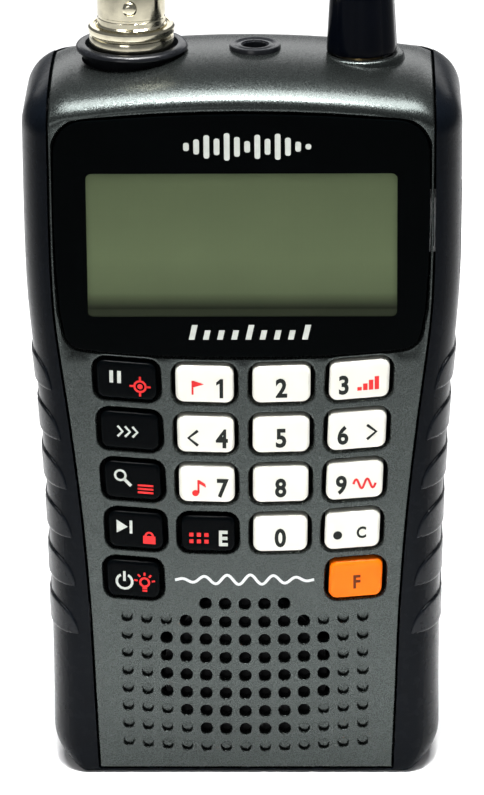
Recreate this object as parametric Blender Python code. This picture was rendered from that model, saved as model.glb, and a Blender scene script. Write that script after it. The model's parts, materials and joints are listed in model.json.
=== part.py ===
"""Handheld scanner radio, built from its real pieces.

Metres, +Z up. The radio stands upright on its bottom face, whose centre is the origin.
The keypad faces -Y, and +X is the right-hand side as the user sees it.
"""
from math import cos, pi, sin, sqrt

import bmesh
import bpy
from mathutils import Matrix, Vector

GAP = 0.0003                     # clearance between pieces that touch
CLEAR_Y = 0.0170                 # where cutters end, in front of the case or behind it
CLEAR_Z = 0.1120                 # where cutters end above the case

# Case: front-view outline and depth
CASE_HALF_DEPTH = 0.0155
CASE_TOP = 0.1056                # crest of the top, in the middle
TOP_ARCH_RADIUS = 0.168          # sideways arch of the top
HALF_WIDTH_LOW = 0.0279
HALF_WIDTH_HIGH = 0.0310
TOP_DOME = 0.0044                # how far the top falls towards the front and the back
SIDE_ROUND = (0.0046, 0.0080)    # rounding of the long edges: across, and in depth
BOTTOM_ROUND = 0.0010
WALL = 0.0018
TOP_WALL = 0.0030

# Seam between the grey front shell and the black rear shell
SEAM_TOP = 0.0269
SEAM_BOTTOM = 0.0212
SEAM_SIDES = ((0.0260, 0.02215), (0.0400, 0.0231), (0.0545, 0.0246), (0.0690, 0.02635), (0.0800, 0.0269))
FRONT_BOTTOM = 0.0009
FLANGE_BACK = -0.0110            # rear edge of the front shell's sides
CAP_BACK = 0.0118                # how far back the front shell's top reaches
CAP_BOTTOM = 0.0970
CAP_LEDGE = 0.0004

# Display
LENS_FRONT = -0.0158
LENS_BACK = -0.0146
WINDOW = (0.0219, 0.0707, 0.0919)    # half width, bottom, top
PANEL_BACK = -0.0125             # where cutters end behind the front panel

# Keypad: rows of four keys that follow a shallow arc, and a fifth row of two
KEY_TOP_ROW = 0.06055
KEY_ROW_PITCH = 0.0076
KEY_INNER_X = 0.00545
KEY_OUTER_X = 0.01648
KEY_ARC_RADIUS = 0.190
KEY_FRONT = -0.0161
KEY_BACK = -0.0129
KEY_LOWEST_X = 0.01595           # the two keys of the fifth row
KEY_TAPER = (0.00033, 0.00009)   # how far each row moves in: outer columns, inner columns
KEY_WIDTH = (0.00850, 0.00824)
KEY_NARROWING = (0.00022, 0.00016)
KEY_HEIGHT = (0.0057, 0.0055)
KEY_LEAN = (0.043, 0.012)
KEY_CORNER = 0.0011
KEY_CHAMFER = 0.0003
KEY_HOLE_GROW = (0.0006, 0.0004)
KEY_HOLE_CORNER = 0.0018
KEY_ROWS = (
    ("key_hold", "key_1", "key_2", "key_3"),
    ("key_scan", "key_4", "key_5", "key_6"),
    ("key_search", "key_7", "key_8", "key_9"),
    ("key_lockout", "key_enter", "key_0", "key_clear"),
    ("key_power", None, None, "key_function"),
)

# Speaker grille
GRILLE_PITCH = 0.002833
GRILLE_ROW_PITCH = 0.00281
GRILLE_TOP = 0.02385             # first full row
GRILLE_ARC_RADIUS = 0.1445
GRILLE_HOLE_RADIUS = 0.00095
GRILLE_REACH = (3, 4, 4, 4, 4, 3, 2)     # columns each side of the middle that go right through
SPEAKER_Z = 0.0150

# Controls on the top
AERIAL_X = -0.01565
JACK_X = 0.0018
KNOB_X = 0.0169
KNOB_RING = 0.0059               # radius of the ring that the knob stands in
KNOB_HOLE = 0.0044
SHAFT_FOOT = 0.0930
SOCKET_BARREL = 0.00483
SOCKET_FLANGE = 0.00615
SOCKET_LUG_Z = 0.1127

# Batteries and their tray
CELL_RADIUS = 0.00725
CELL_LENGTH = 0.0505
CONTACT_WIRE = 0.00025
CELL_X = 0.0076
CELL_Y = 0.0061
TRAY_BOTTOM = 0.0046
TRAY_TOP = 0.0592
DOOR_HALF_WIDTH = 0.0149
DOOR_BOTTOM = 0.0051
DOOR_TOP = 0.0587

# Case screws: position of the lower and the upper pair
SCREW_SPOTS = ((0.0196, 0.0120), (0.0249, 0.0930))
SCREW_RADIUS = 0.0010
SCREW_HOLE = 0.0013
POST_RADIUS = 0.0029
BOSS_RADIUS = 0.0019

# Belt clip
CLIP_PIN = (0.0216, 0.0900)      # y and z of the hinge pin
CLIP_PIN_RADIUS = 0.0010

# Data port in the right-hand side
PORT_Y = -0.0067
PORT_Z = 0.0820

FINISHES = {
    "grey_metallic": ((0.075, 0.085, 0.085), 0.38, 0.6),
    "black_plastic": ((0.012, 0.013, 0.014), 0.40, 0.0),
    "black_gloss": ((0.004, 0.005, 0.005), 0.08, 0.0),
    "lcd_glass": ((0.150, 0.200, 0.100), 0.20, 0.0),
    "white_plastic": ((0.850, 0.840, 0.780), 0.35, 0.0),
    "orange_plastic": ((1.000, 0.180, 0.010), 0.35, 0.0),
    "black_rubber": ((0.010, 0.010, 0.011), 0.65, 0.0),
    "green_board": ((0.020, 0.120, 0.050), 0.45, 0.0),
    "nickel": ((0.640, 0.600, 0.540), 0.22, 1.0),
    "steel": ((0.450, 0.450, 0.460), 0.35, 1.0),
    "brass": ((0.720, 0.520, 0.230), 0.28, 1.0),
    "insulator": ((0.860, 0.850, 0.820), 0.50, 0.0),
    "paper_cone": ((0.055, 0.050, 0.045), 0.85, 0.0),
    "felt": ((0.020, 0.020, 0.022), 0.95, 0.0),
    "cell_sleeve": ((0.030, 0.090, 0.240), 0.35, 0.2),
}


# ---------------------------------------------------------------- helpers

def clear_scene():
    """Remove whatever the scene holds."""
    for item in list(bpy.data.objects):
        bpy.data.objects.remove(item, do_unlink=True)


def finish_material(name):
    """Return the Principled material of a finish, made once."""
    if name in bpy.data.materials:
        return bpy.data.materials[name]
    colour, roughness, metallic = FINISHES[name]
    material = bpy.data.materials.new(name)
    material.use_nodes = True
    shader = material.node_tree.nodes["Principled BSDF"]
    shader.inputs["Base Color"].default_value = (*colour, 1.0)
    shader.inputs["Roughness"].default_value = roughness
    shader.inputs["Metallic"].default_value = metallic
    material.diffuse_color = (*colour, 1.0)
    return material


def add_piece(name, bm, finish=None, origin=(0.0, 0.0, 0.0)):
    """Turn a bmesh into a named object. A piece without a finish is a cutter."""
    bmesh.ops.recalc_face_normals(bm, faces=bm.faces)
    bmesh.ops.translate(bm, verts=bm.verts, vec=-Vector(origin))
    mesh = bpy.data.meshes.new(name)
    bm.to_mesh(mesh)
    bm.free()
    piece = bpy.data.objects.new(name, mesh)
    piece.location = origin
    bpy.context.scene.collection.objects.link(piece)
    if finish is None:
        piece.hide_render = True
        piece.display_type = 'WIRE'
    else:
        mesh.materials.append(finish_material(finish))
        mesh.shade_smooth()
        mesh.set_sharp_from_angle(angle=pi / 5)
    return piece


def combine(piece, other, operation):
    """Add a Boolean of another object to a piece."""
    modifier = piece.modifiers.new(operation.lower(), 'BOOLEAN')
    modifier.operation = operation
    modifier.solver = 'EXACT'
    modifier.object = other


def arc(centre, radius, start, stop, steps):
    """Points on an arc, both ends included."""
    angles = [start + (stop - start) * i / steps for i in range(steps + 1)]
    return [(centre[0] + radius * cos(a), centre[1] + radius * sin(a)) for a in angles]


def round_corners(corners, steps=3):
    """Turn (u, v, radius) corners of a closed polygon into points with rounded corners."""
    points = []
    count = len(corners)
    for i, (u, v, radius) in enumerate(corners):
        here = Vector((u, v))
        if radius == 0.0:
            points.append((u, v))
            continue
        before = (Vector(corners[i - 1][:2]) - here).normalized()
        after = (Vector(corners[(i + 1) % count][:2]) - here).normalized()
        half = before.angle(after) / 2.0
        centre = here + (before + after).normalized() * (radius / sin(half))
        first = here + before * (radius / (sin(half) / cos(half))) - centre
        last = here + after * (radius / (sin(half) / cos(half))) - centre
        turn = first.angle_signed(last)
        for k in range(steps + 1):
            spoke = first.copy()
            spoke.rotate(Matrix.Rotation(-turn * k / steps, 2))
            points.append(tuple(centre + spoke))
    return points


def mirrored(right_half):
    """Corners of a symmetrical outline from its right half, bottom to top."""
    left_half = [(-u, v, radius) for u, v, radius in reversed(right_half) if u > 0.0]
    return right_half + left_half


def add_loft(bm, rings):
    """Skin equal rings of 3-D points and close both ends."""
    loops = [[bm.verts.new(point) for point in ring] for ring in rings]
    count = len(loops[0])
    for near, far in zip(loops, loops[1:]):
        for i in range(count):
            j = (i + 1) % count
            bm.faces.new((near[i], near[j], far[j], far[i]))
    bm.faces.new(loops[0])
    bm.faces.new(list(reversed(loops[-1])))


def add_prism(bm, outline, front, back):
    """Extrude a front-view outline from y = front to y = back."""
    add_loft(bm, [[(x, y, z) for x, z in outline] for y in (front, back)])


def add_box(bm, low, high):
    """Add a box between two corners."""
    outline = [(low[0], low[2]), (high[0], low[2]), (high[0], high[2]), (low[0], high[2])]
    add_prism(bm, outline, low[1], high[1])


def add_turned(bm, profile, spot, axis='Z', segments=24, start=0.0):
    """Turn a closed (radius, height) profile round an axis through a spot.

    A point with radius 0 becomes one vertex on the axis.
    """
    tilt = {'X': Matrix.Rotation(pi / 2, 3, 'Y'), 'Y': Matrix.Rotation(-pi / 2, 3, 'X'),
            'Z': Matrix.Identity(3)}[axis]
    rings = []
    for radius, height in profile:
        if radius == 0.0:
            rings.append([bm.verts.new(Vector(spot) + tilt @ Vector((0.0, 0.0, height)))])
            continue
        ring = []
        for i in range(segments):
            angle = start + 2.0 * pi * i / segments
            point = Vector((radius * cos(angle), radius * sin(angle), height))
            ring.append(bm.verts.new(Vector(spot) + tilt @ point))
        rings.append(ring)
    open_ended = len(rings[0]) == 1 and len(rings[-1]) == 1
    pairs = list(zip(rings, rings[1:]))
    if not open_ended:
        pairs.append((rings[-1], rings[0]))
    for near, far in pairs:
        for i in range(segments):
            j = (i + 1) % segments
            corners = [near[i % len(near)], near[j % len(near)], far[j % len(far)], far[i % len(far)]]
            unique = list(dict.fromkeys(corners))
            if len(unique) > 2:
                bm.faces.new(unique)


def add_rod(bm, spot, radius, low, high, axis='Z', segments=16, start=0.0):
    """Add a plain cylinder along an axis, between two heights."""
    add_turned(bm, [(0.0, low), (radius, low), (radius, high), (0.0, high)], spot, axis, segments, start)


def add_tube(bm, spot, outer, inner, low, high, axis='Z', segments=16):
    """Add a plain tube along an axis, between two heights."""
    profile = [(inner, low), (outer, low), (outer, high), (inner, high)]
    add_turned(bm, profile, spot, axis, segments)


def add_open_box(bm, low, high, wall, rear_open=True):
    """Add a box with one open side, at its rear or its front."""
    inner_low = [low[0] + wall, low[1] + wall, low[2] + wall]
    inner_high = [high[0] - wall, high[1] - wall, high[2] - wall]
    mouth = high[1] if rear_open else low[1]
    floor = low[1] if rear_open else high[1]
    inner_floor = inner_low[1] if rear_open else inner_high[1]

    def rectangle(a, b, y):
        return [(a[0], y, a[2]), (b[0], y, a[2]), (b[0], y, b[2]), (a[0], y, b[2])]

    rings = [rectangle(low, high, floor), rectangle(low, high, mouth),
             rectangle(inner_low, inner_high, mouth), rectangle(inner_low, inner_high, inner_floor)]
    add_loft(bm, rings)


def add_coil(bm, centre, coil_radius, wire, low, high, turns, axis='Z', steps=10, sides=5):
    """Add a closed helical spring whose wire centre runs from low to high."""
    tilt = {'X': Matrix.Rotation(pi / 2, 3, 'Y'), 'Z': Matrix.Identity(3)}[axis]
    rings = []
    total = int(turns * steps)
    for i in range(total + 1):
        angle = 2.0 * pi * i / steps
        height = low + (high - low) * i / total
        radial = Vector((cos(angle), sin(angle), 0.0))
        ring = []
        for k in range(sides):
            around = 2.0 * pi * k / sides
            lift = Vector((0.0, 0.0, height + wire * sin(around)))
            point = radial * (coil_radius + wire * cos(around)) + lift
            ring.append(Vector(centre) + tilt @ point)
        rings.append(ring)
    add_loft(bm, rings)


# ---------------------------------------------------------------- case form

def case_outline():
    """Front-view outline of the case, counter-clockwise from the bottom middle."""
    def arch(x):
        return CASE_TOP - x * x / (2.0 * TOP_ARCH_RADIUS)

    right = [
        (0.0, 0.0, 0.0), (HALF_WIDTH_LOW, 0.0, 0.0050), (HALF_WIDTH_LOW + 0.0001, 0.0280, 0.0),
        (0.0289, 0.0490, 0.0), (0.0301, 0.0640, 0.0), (0.0309, 0.0740, 0.0), (HALF_WIDTH_HIGH, 0.0860, 0.0),
        (HALF_WIDTH_HIGH, arch(HALF_WIDTH_HIGH), 0.0066), (0.0190, arch(0.0190), 0.0),
        (0.0100, arch(0.0100), 0.0), (0.0, CASE_TOP, 0.0),
    ]
    return round_corners(mirrored(right))


def outline_normals(outline):
    """Outward normal at each point of a counter-clockwise outline."""
    normals = []
    count = len(outline)
    for i in range(count):
        before, after = Vector(outline[i - 1]), Vector(outline[(i + 1) % count])
        along = (after - before).normalized()
        normals.append(Vector((along.y, -along.x)))
    return normals


def rounding(distance, length, depth):
    """Fall of a quarter ellipse, at a distance past its start."""
    share = min(max(distance / length, 0.0), 1.0)
    return depth * (1.0 - sqrt(1.0 - share * share))


def add_case_form(bm, depths, walls, half_depth):
    """Add the closed case form, moved in from the outer skin by (side, top, bottom) walls."""
    outline = case_outline()
    normals = outline_normals(outline)
    side_wall, top_wall, bottom_wall = walls
    rings = []
    for y in depths:
        reach = abs(y)
        side = side_wall + rounding(reach - half_depth + SIDE_ROUND[1], SIDE_ROUND[1], SIDE_ROUND[0])
        top = top_wall + rounding(reach, half_depth, TOP_DOME)
        bottom = bottom_wall + rounding(reach - half_depth + BOTTOM_ROUND, BOTTOM_ROUND, BOTTOM_ROUND)
        ring = []
        for (x, z), normal in zip(outline, normals):
            lift = top if normal.y > 0.0 else bottom
            ring.append((x - normal.x * side, y, z - normal.y * lift))
        rings.append(ring)
    add_loft(bm, rings)


def add_outer_form(bm):
    """Add the outer skin of the closed case."""
    shares = (1.0, 0.985, 0.93, 0.82, 0.66, 0.42)
    depths = [-CASE_HALF_DEPTH * s for s in shares] + [0.0] + [CASE_HALF_DEPTH * s for s in reversed(shares)]
    add_case_form(bm, depths, (0.0, 0.0, 0.0), CASE_HALF_DEPTH)


def add_cavity(bm):
    """Add the hollow inside the case."""
    half = CASE_HALF_DEPTH - WALL
    shares = (1.0, 0.86, 0.55)
    depths = [-half * s for s in shares] + [half * s for s in reversed(shares)]
    add_case_form(bm, depths, (WALL, TOP_WALL, WALL), half)


def front_zone(name, gap):
    """Return the region of the case that the front shell takes: its face and its top cap."""
    sections = [(FRONT_BOTTOM - gap, SEAM_BOTTOM, FLANGE_BACK)]
    sections += [(z, half, FLANGE_BACK) for z, half in SEAM_SIDES]
    sections += [(CAP_BOTTOM - gap, SEAM_TOP, FLANGE_BACK),
                 (CAP_BOTTOM + CAP_LEDGE - gap, SEAM_TOP, CAP_BACK), (CLEAR_Z, SEAM_TOP, CAP_BACK)]
    rings = []
    for z, half, back in sections:
        x, y = half + gap, back + gap
        rings.append([(-x, -CLEAR_Y, z), (x, -CLEAR_Y, z), (x, y, z), (-x, y, z)])
    bm = bmesh.new()
    add_loft(bm, rings)
    return add_piece(name, bm)


def mounting_screws():
    """Yield the number and place of each case screw."""
    number = 0
    for x, z in SCREW_SPOTS:
        for side in (-1.0, 1.0):
            number += 1
            yield number, side * x, z


# ---------------------------------------------------------------- keypad and display

def lens_outline(gap):
    """Outline of the display lens, grown by a gap."""
    right = [
        (0.0, 0.0642 - gap, 0.0), (0.0110, 0.0644 - gap, 0.0), (0.0247 + gap, 0.0655 - gap, 0.0026),
        (0.0260 + gap, 0.0750, 0.0), (0.0263 + gap, 0.0860, 0.0), (0.0262 + gap, 0.0995 + gap, 0.0046),
        (0.0135, 0.1002 + gap, 0.0), (0.0, 0.1005 + gap, 0.0),
    ]
    return round_corners(mirrored(right))


def key_place(row, column):
    """Centre, size, lean of the sides and slope of the top edge of one key."""
    side = -1.0 if column < 2 else 1.0
    kind = 0 if column in (0, 3) else 1
    x = (KEY_OUTER_X, KEY_INNER_X)[kind] - KEY_TAPER[kind] * row
    if row == len(KEY_ROWS) - 1:
        x = KEY_LOWEST_X
    z = KEY_TOP_ROW - KEY_ROW_PITCH * row + x * x / (2.0 * KEY_ARC_RADIUS)
    width = KEY_WIDTH[kind] - KEY_NARROWING[kind] * row
    slope = side * x / KEY_ARC_RADIUS
    return side * x, z, width, KEY_HEIGHT[kind], side * KEY_LEAN[kind], slope


def key_outline(row, column, grow, radius):
    """Outline of a key, or of its hole, as a leaning rounded rectangle."""
    x, z, width, height, lean, slope = key_place(row, column)
    half_u, half_v = width / 2.0 + grow[0], height / 2.0 + grow[1]
    corners = []
    for u, v in ((-half_u, -half_v), (half_u, -half_v), (half_u, half_v), (-half_u, half_v)):
        corners.append((x + u + lean * v, z + v + slope * u, radius))
    return round_corners(corners, steps=2)


def build_keys():
    """Build the eighteen keys, each free to travel into the case."""
    for row, names in enumerate(KEY_ROWS):
        for column, name in enumerate(names):
            if name is None:
                continue
            bm = bmesh.new()
            full = key_outline(row, column, (0.0, 0.0), KEY_CORNER)
            top = key_outline(row, column, (-KEY_CHAMFER, -KEY_CHAMFER), KEY_CORNER - KEY_CHAMFER)
            rings = [[(x, KEY_FRONT, z) for x, z in top], [(x, KEY_FRONT + KEY_CHAMFER, z) for x, z in full],
                     [(x, KEY_BACK, z) for x, z in full]]
            add_loft(bm, rings)
            finish = "white_plastic"
            if column == 0 or name == "key_enter":
                finish = "black_plastic"
            if name == "key_function":
                finish = "orange_plastic"
            x, z = key_place(row, column)[:2]
            add_piece(name, bm, finish, origin=(x, KEY_FRONT, z))


def build_keypad_mat():
    """Build the rubber mat that carries the key domes."""
    bm = bmesh.new()
    add_prism(bm, round_corners([(-0.0215, 0.0276, 0.002), (0.0215, 0.0276, 0.002),
                                 (0.0215, 0.0666, 0.002), (-0.0215, 0.0666, 0.002)]), -0.0121, -0.0105)
    add_piece("keypad_mat", bm, "black_rubber")


def build_display():
    """Build the lens, the LCD and its back light."""
    bm = bmesh.new()
    edge = 0.0003
    rings = [[(x, LENS_FRONT, z) for x, z in lens_outline(-edge)],
             [(x, LENS_FRONT + edge, z) for x, z in lens_outline(0.0)],
             [(x, LENS_BACK, z) for x, z in lens_outline(0.0)]]
    add_loft(bm, rings)
    add_piece("display_lens", bm, "black_gloss")
    for name, half, low, high, front, back, finish in (
            ("lcd_module", 0.0224, 0.0699, 0.0928, -0.0134, -0.0119, "lcd_glass"),
            ("back_light", 0.0218, 0.0705, 0.0922, -0.0116, -0.0105, "insulator")):
        bm = bmesh.new()
        add_box(bm, (-half, front, low), (half, back, high))
        add_piece(name, bm, finish)


# ---------------------------------------------------------------- shells

def grille_spots():
    """Yield the centre of each speaker hole that goes right through."""
    for i in range(-2, 3):
        x = i * GRILLE_PITCH
        yield x, GRILLE_TOP + GRILLE_PITCH + x * x / (2.0 * GRILLE_ARC_RADIUS)
    for row, reach in enumerate(GRILLE_REACH):
        for i in range(-reach, reach + 1):
            x = i * GRILLE_PITCH
            yield x, GRILLE_TOP - row * GRILLE_ROW_PITCH + x * x / (2.0 * GRILLE_ARC_RADIUS)


def front_openings():
    """Return one cutter for the key holes and speaker holes."""
    bm = bmesh.new()
    for row, names in enumerate(KEY_ROWS):
        for column, name in enumerate(names):
            if name is not None:
                hole = key_outline(row, column, KEY_HOLE_GROW, KEY_HOLE_CORNER)
                add_prism(bm, hole, -CLEAR_Y, PANEL_BACK)
    for x, z in grille_spots():
        hexagon = arc((x, z), GRILLE_HOLE_RADIUS, 0.0, 2.0 * pi * 5.0 / 6.0, 5)
        add_prism(bm, hexagon, -CLEAR_Y, PANEL_BACK)
    return add_piece("front_openings", bm)


def surface_height(x):
    """Height of the top's crest at a distance from the middle."""
    return CASE_TOP - x * x / (2.0 * TOP_ARCH_RADIUS)


def top_openings():
    """Return one cutter for the socket, jack and control holes in the top."""
    bm = bmesh.new()
    add_turned(bm, [(0.0, 0.0980), (0.0050, 0.0980), (0.0050, 0.1036), (0.0082, 0.1036),
                    (0.0082, CLEAR_Z), (0.0, CLEAR_Z)], (AERIAL_X, 0.0, 0.0))
    add_turned(bm, [(0.0, 0.0980), (0.0033, 0.0980), (0.0033, 0.1049), (0.0041, 0.1049),
                    (0.0041, CLEAR_Z), (0.0, CLEAR_Z)], (JACK_X, 0.0, 0.0), segments=16)
    add_rod(bm, (KNOB_X, 0.0, 0.0), KNOB_HOLE, 0.0980, CLEAR_Z, segments=22)
    return add_piece("top_openings", bm)


def build_front_shell():
    """Build the grey shell: front panel, top cap, knob ring and screw bosses."""
    bm = bmesh.new()
    add_outer_form(bm)
    shell = add_piece("front_shell", bm, "grey_metallic")
    combine(shell, front_zone("front_zone", 0.0), 'INTERSECT')
    hollow = bmesh.new()
    add_cavity(hollow)
    combine(shell, add_piece("front_hollow", hollow), 'DIFFERENCE')
    solids = bmesh.new()
    add_rod(solids, (KNOB_X, 0.0, 0.0), KNOB_RING, 0.1035, surface_height(KNOB_X) + 0.0003, segments=24)
    for _, x, z in mounting_screws():
        add_rod(solids, (x, 0.0, z), BOSS_RADIUS, -0.0145, 0.0007, axis='Y', segments=12)
    combine(shell, add_piece("front_bosses", solids), 'UNION')
    combine(shell, front_openings(), 'DIFFERENCE')
    combine(shell, top_openings(), 'DIFFERENCE')
    recess = bmesh.new()
    add_prism(recess, lens_outline(GAP), -CLEAR_Y, LENS_BACK + GAP)
    combine(shell, add_piece("lens_recess", recess), 'DIFFERENCE')
    half, low, high = WINDOW
    pierced = bmesh.new()
    add_box(pierced, (-half, -0.0160, low), (half, -0.0130, high))
    for _, x, z in mounting_screws():
        add_rod(pierced, (x, 0.0, z), SCREW_HOLE, -0.0090, 0.0020, axis='Y', segments=10)
    combine(shell, add_piece("front_bores", pierced), 'DIFFERENCE')


def build_rear_shell():
    """Build the black shell: back, sides, bottom, screw posts and the openings in them."""
    bm = bmesh.new()
    add_outer_form(bm)
    shell = add_piece("rear_shell", bm, "black_plastic")
    combine(shell, front_zone("rear_zone", GAP), 'DIFFERENCE')
    hollow = bmesh.new()
    add_cavity(hollow)
    combine(shell, add_piece("rear_hollow", hollow), 'DIFFERENCE')
    posts = bmesh.new()
    for _, x, z in mounting_screws():
        add_rod(posts, (x, 0.0, z), POST_RADIUS, 0.0010, 0.0145, axis='Y')
    combine(shell, add_piece("rear_posts", posts), 'UNION')
    bores = bmesh.new()
    for _, x, z in mounting_screws():
        add_turned(bores, [(0.0, 0.0005), (SCREW_HOLE, 0.0005), (SCREW_HOLE, 0.0131), (0.0022, 0.0131),
                           (0.0022, CLEAR_Y), (0.0, CLEAR_Y)], (x, 0.0, z), axis='Y', segments=12)
    add_rod(bores, (0.0, 0.0, CLIP_PIN[1] - 0.0048), SCREW_HOLE, 0.0120, CLEAR_Y, axis='Y', segments=12)
    door = DOOR_HALF_WIDTH + GAP
    add_box(bores, (-door, 0.0128, DOOR_BOTTOM - GAP), (door, CLEAR_Y, DOOR_TOP + GAP))
    combine(shell, add_piece("rear_bores", bores), 'DIFFERENCE')
    pocket = bmesh.new()
    add_box(pocket, (0.0300, PORT_Y - 0.0029, PORT_Z - 0.0070), (0.0330, PORT_Y + 0.0029, PORT_Z + 0.0070))
    combine(shell, add_piece("port_pocket", pocket), 'DIFFERENCE')
    port = bmesh.new()
    add_box(port, (0.0270, PORT_Y - 0.0023, PORT_Z - 0.0043), (0.0320, PORT_Y + 0.0023, PORT_Z + 0.0043))
    combine(shell, add_piece("port_hole", port), 'DIFFERENCE')


# ---------------------------------------------------------------- inside

def build_boards():
    """Build the main board, the radio board and its shield can."""
    for name, low, high in (
            ("main_board", (-0.0222, -0.0102, 0.0280), (0.0222, -0.0090, 0.0985)),
            ("radio_board", (-0.0200, -0.0044, 0.0640), (0.0200, -0.0032, 0.0890))):
        bm = bmesh.new()
        add_box(bm, low, high)
        add_piece(name, bm, "green_board")
    bm = bmesh.new()
    add_open_box(bm, (-0.0160, -0.0029, 0.0670), (0.0080, 0.0016, 0.0860), 0.0004, rear_open=False)
    add_piece("radio_shield", bm, "steel")


def build_speaker():
    """Build the loudspeaker behind the grille: felt, paper cone and basket with magnet."""
    spot = (0.0, 0.0, SPEAKER_Z)
    bm = bmesh.new()
    add_rod(bm, spot, 0.0118, -0.0134, -0.0129, axis='Y', segments=24)
    add_piece("speaker_felt", bm, "felt")
    bm = bmesh.new()
    add_turned(bm, [(0.0, -0.0112), (0.0030, -0.0110), (0.0104, -0.0125), (0.0104, -0.0121),
                    (0.0031, -0.0106), (0.0, -0.0108)], spot, axis='Y')
    add_piece("speaker_cone", bm, "paper_cone")
    bm = bmesh.new()
    add_turned(bm, [(0.0, -0.0100), (0.0060, -0.0100), (0.0108, -0.0116), (0.0108, -0.0126), (0.0119, -0.0126),
                    (0.0119, -0.0112), (0.0070, -0.0094), (0.0070, -0.0076), (0.0, -0.0076)], spot, axis='Y')
    add_piece("speaker_basket", bm, "steel")


def build_batteries():
    """Build the tray, two cells, their contacts and the door over them."""
    bm = bmesh.new()
    add_open_box(bm, (-0.0164, -0.0024, TRAY_BOTTOM - 0.001), (0.0164, 0.0134, TRAY_TOP + 0.001), 0.001)
    add_piece("battery_tray", bm, "black_plastic")

    for name, side, foot, nub_up in (("battery_1", -1.0, 0.0076, True), ("battery_2", 1.0, 0.0056, False)):
        bm = bmesh.new()
        profile = [(0.0, 0.0), (0.0065, 0.0), (CELL_RADIUS, 0.0006), (CELL_RADIUS, 0.0489),
                   (0.0065, 0.0495), (0.00275, 0.0495), (0.00275, CELL_LENGTH), (0.0, CELL_LENGTH)]
        if not nub_up:
            profile = [(radius, CELL_LENGTH - height) for radius, height in profile]
        add_turned(bm, [(radius, foot + height) for radius, height in profile], (side * CELL_X, CELL_Y, 0.0))
        add_piece(name, bm, "cell_sleeve")

    for name, side, low, high in (("contact_spring_1", -1.0, TRAY_BOTTOM + GAP, 0.0073),
                                  ("contact_spring_2", 1.0, 0.0564, 0.0581)):
        bm = bmesh.new()
        add_coil(bm, (side * CELL_X, CELL_Y, 0.0), 0.0030, CONTACT_WIRE, low + CONTACT_WIRE,
                 high - CONTACT_WIRE, 2.5)
        add_piece(name, bm, "steel")
    for name, low, high in (
            ("contact_plate", (0.0040, 0.0030, 0.0049), (0.0112, 0.0092, 0.0053)),
            ("contact_bridge", (-0.0112, 0.0030, 0.0584), (0.0112, 0.0092, 0.0588))):
        bm = bmesh.new()
        add_box(bm, low, high)
        add_piece(name, bm, "steel")

    bm = bmesh.new()
    corners = [(-DOOR_HALF_WIDTH, DOOR_BOTTOM, 0.0), (DOOR_HALF_WIDTH, DOOR_BOTTOM, 0.0),
               (DOOR_HALF_WIDTH, DOOR_TOP, 0.0), (-DOOR_HALF_WIDTH, DOOR_TOP, 0.0)]
    add_prism(bm, round_corners(corners), CASE_HALF_DEPTH - WALL + 0.0001, CASE_HALF_DEPTH)
    add_piece("battery_door", bm, "black_plastic")


# ---------------------------------------------------------------- top hardware

def build_aerial_socket():
    """Build the bayonet aerial socket with its insulator, centre contact, nut and collar."""
    spot = (AERIAL_X, 0.0, 0.0)
    bm = bmesh.new()
    add_turned(bm, [(0.0027, 0.0960), (0.0047, 0.0960), (0.0047, 0.1058), (0.0060, 0.1058), (0.0060, 0.1078),
                    (SOCKET_FLANGE, 0.1080), (SOCKET_FLANGE, 0.1092), (SOCKET_BARREL, 0.1094),
                    (SOCKET_BARREL, 0.1177), (0.0045, 0.1180), (0.00405, 0.1180), (0.00405, 0.1098),
                    (0.0027, 0.1098)], spot)
    socket = add_piece("aerial_socket", bm, "nickel")
    lugs = bmesh.new()
    for low, high in ((-0.0058, -0.0043), (0.0043, 0.0058)):
        add_rod(lugs, (AERIAL_X, 0.0, SOCKET_LUG_Z), 0.0010, low, high, axis='Y', segments=12)
    combine(socket, add_piece("aerial_lugs", lugs), 'UNION')

    bm = bmesh.new()
    add_turned(bm, [(0.0014, 0.0975), (0.0024, 0.0975), (0.0024, 0.1165), (0.0014, 0.1165)], spot, segments=16)
    add_piece("aerial_insulator", bm, "insulator")
    bm = bmesh.new()
    add_turned(bm, [(0.0, 0.0950), (0.0011, 0.0950), (0.0011, 0.1158), (0.0007, 0.1158), (0.0007, 0.1100),
                    (0.0, 0.1100)], spot, segments=12)
    add_piece("aerial_contact", bm, "brass")
    bm = bmesh.new()
    add_tube(bm, spot, 0.0076, 0.0058, 0.0978, 0.1000, segments=6)
    add_piece("aerial_nut", bm, "nickel")
    bm = bmesh.new()
    add_turned(bm, [(0.0050, 0.1039), (0.0075, 0.1039), (0.00795, 0.1053), (0.00795, 0.1061), (0.0074, 0.1067),
                    (0.0065, 0.1067), (0.0065, 0.1054), (0.0050, 0.1054)], spot)
    add_piece("aerial_collar", bm, "black_plastic")


def build_jack():
    """Build the earphone jack with its ring."""
    bm = bmesh.new()
    add_turned(bm, [(0.00175, 0.0925), (0.0037, 0.0925), (0.0037, 0.1012), (0.0030, 0.1012), (0.0030, 0.1052),
                    (0.00365, 0.1052), (0.00365, 0.1060), (0.0034, 0.1062), (0.0020, 0.1062),
                    (0.00175, 0.1059)], (JACK_X, 0.0, 0.0), segments=20)
    add_piece("earphone_jack", bm, "black_plastic")


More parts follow.
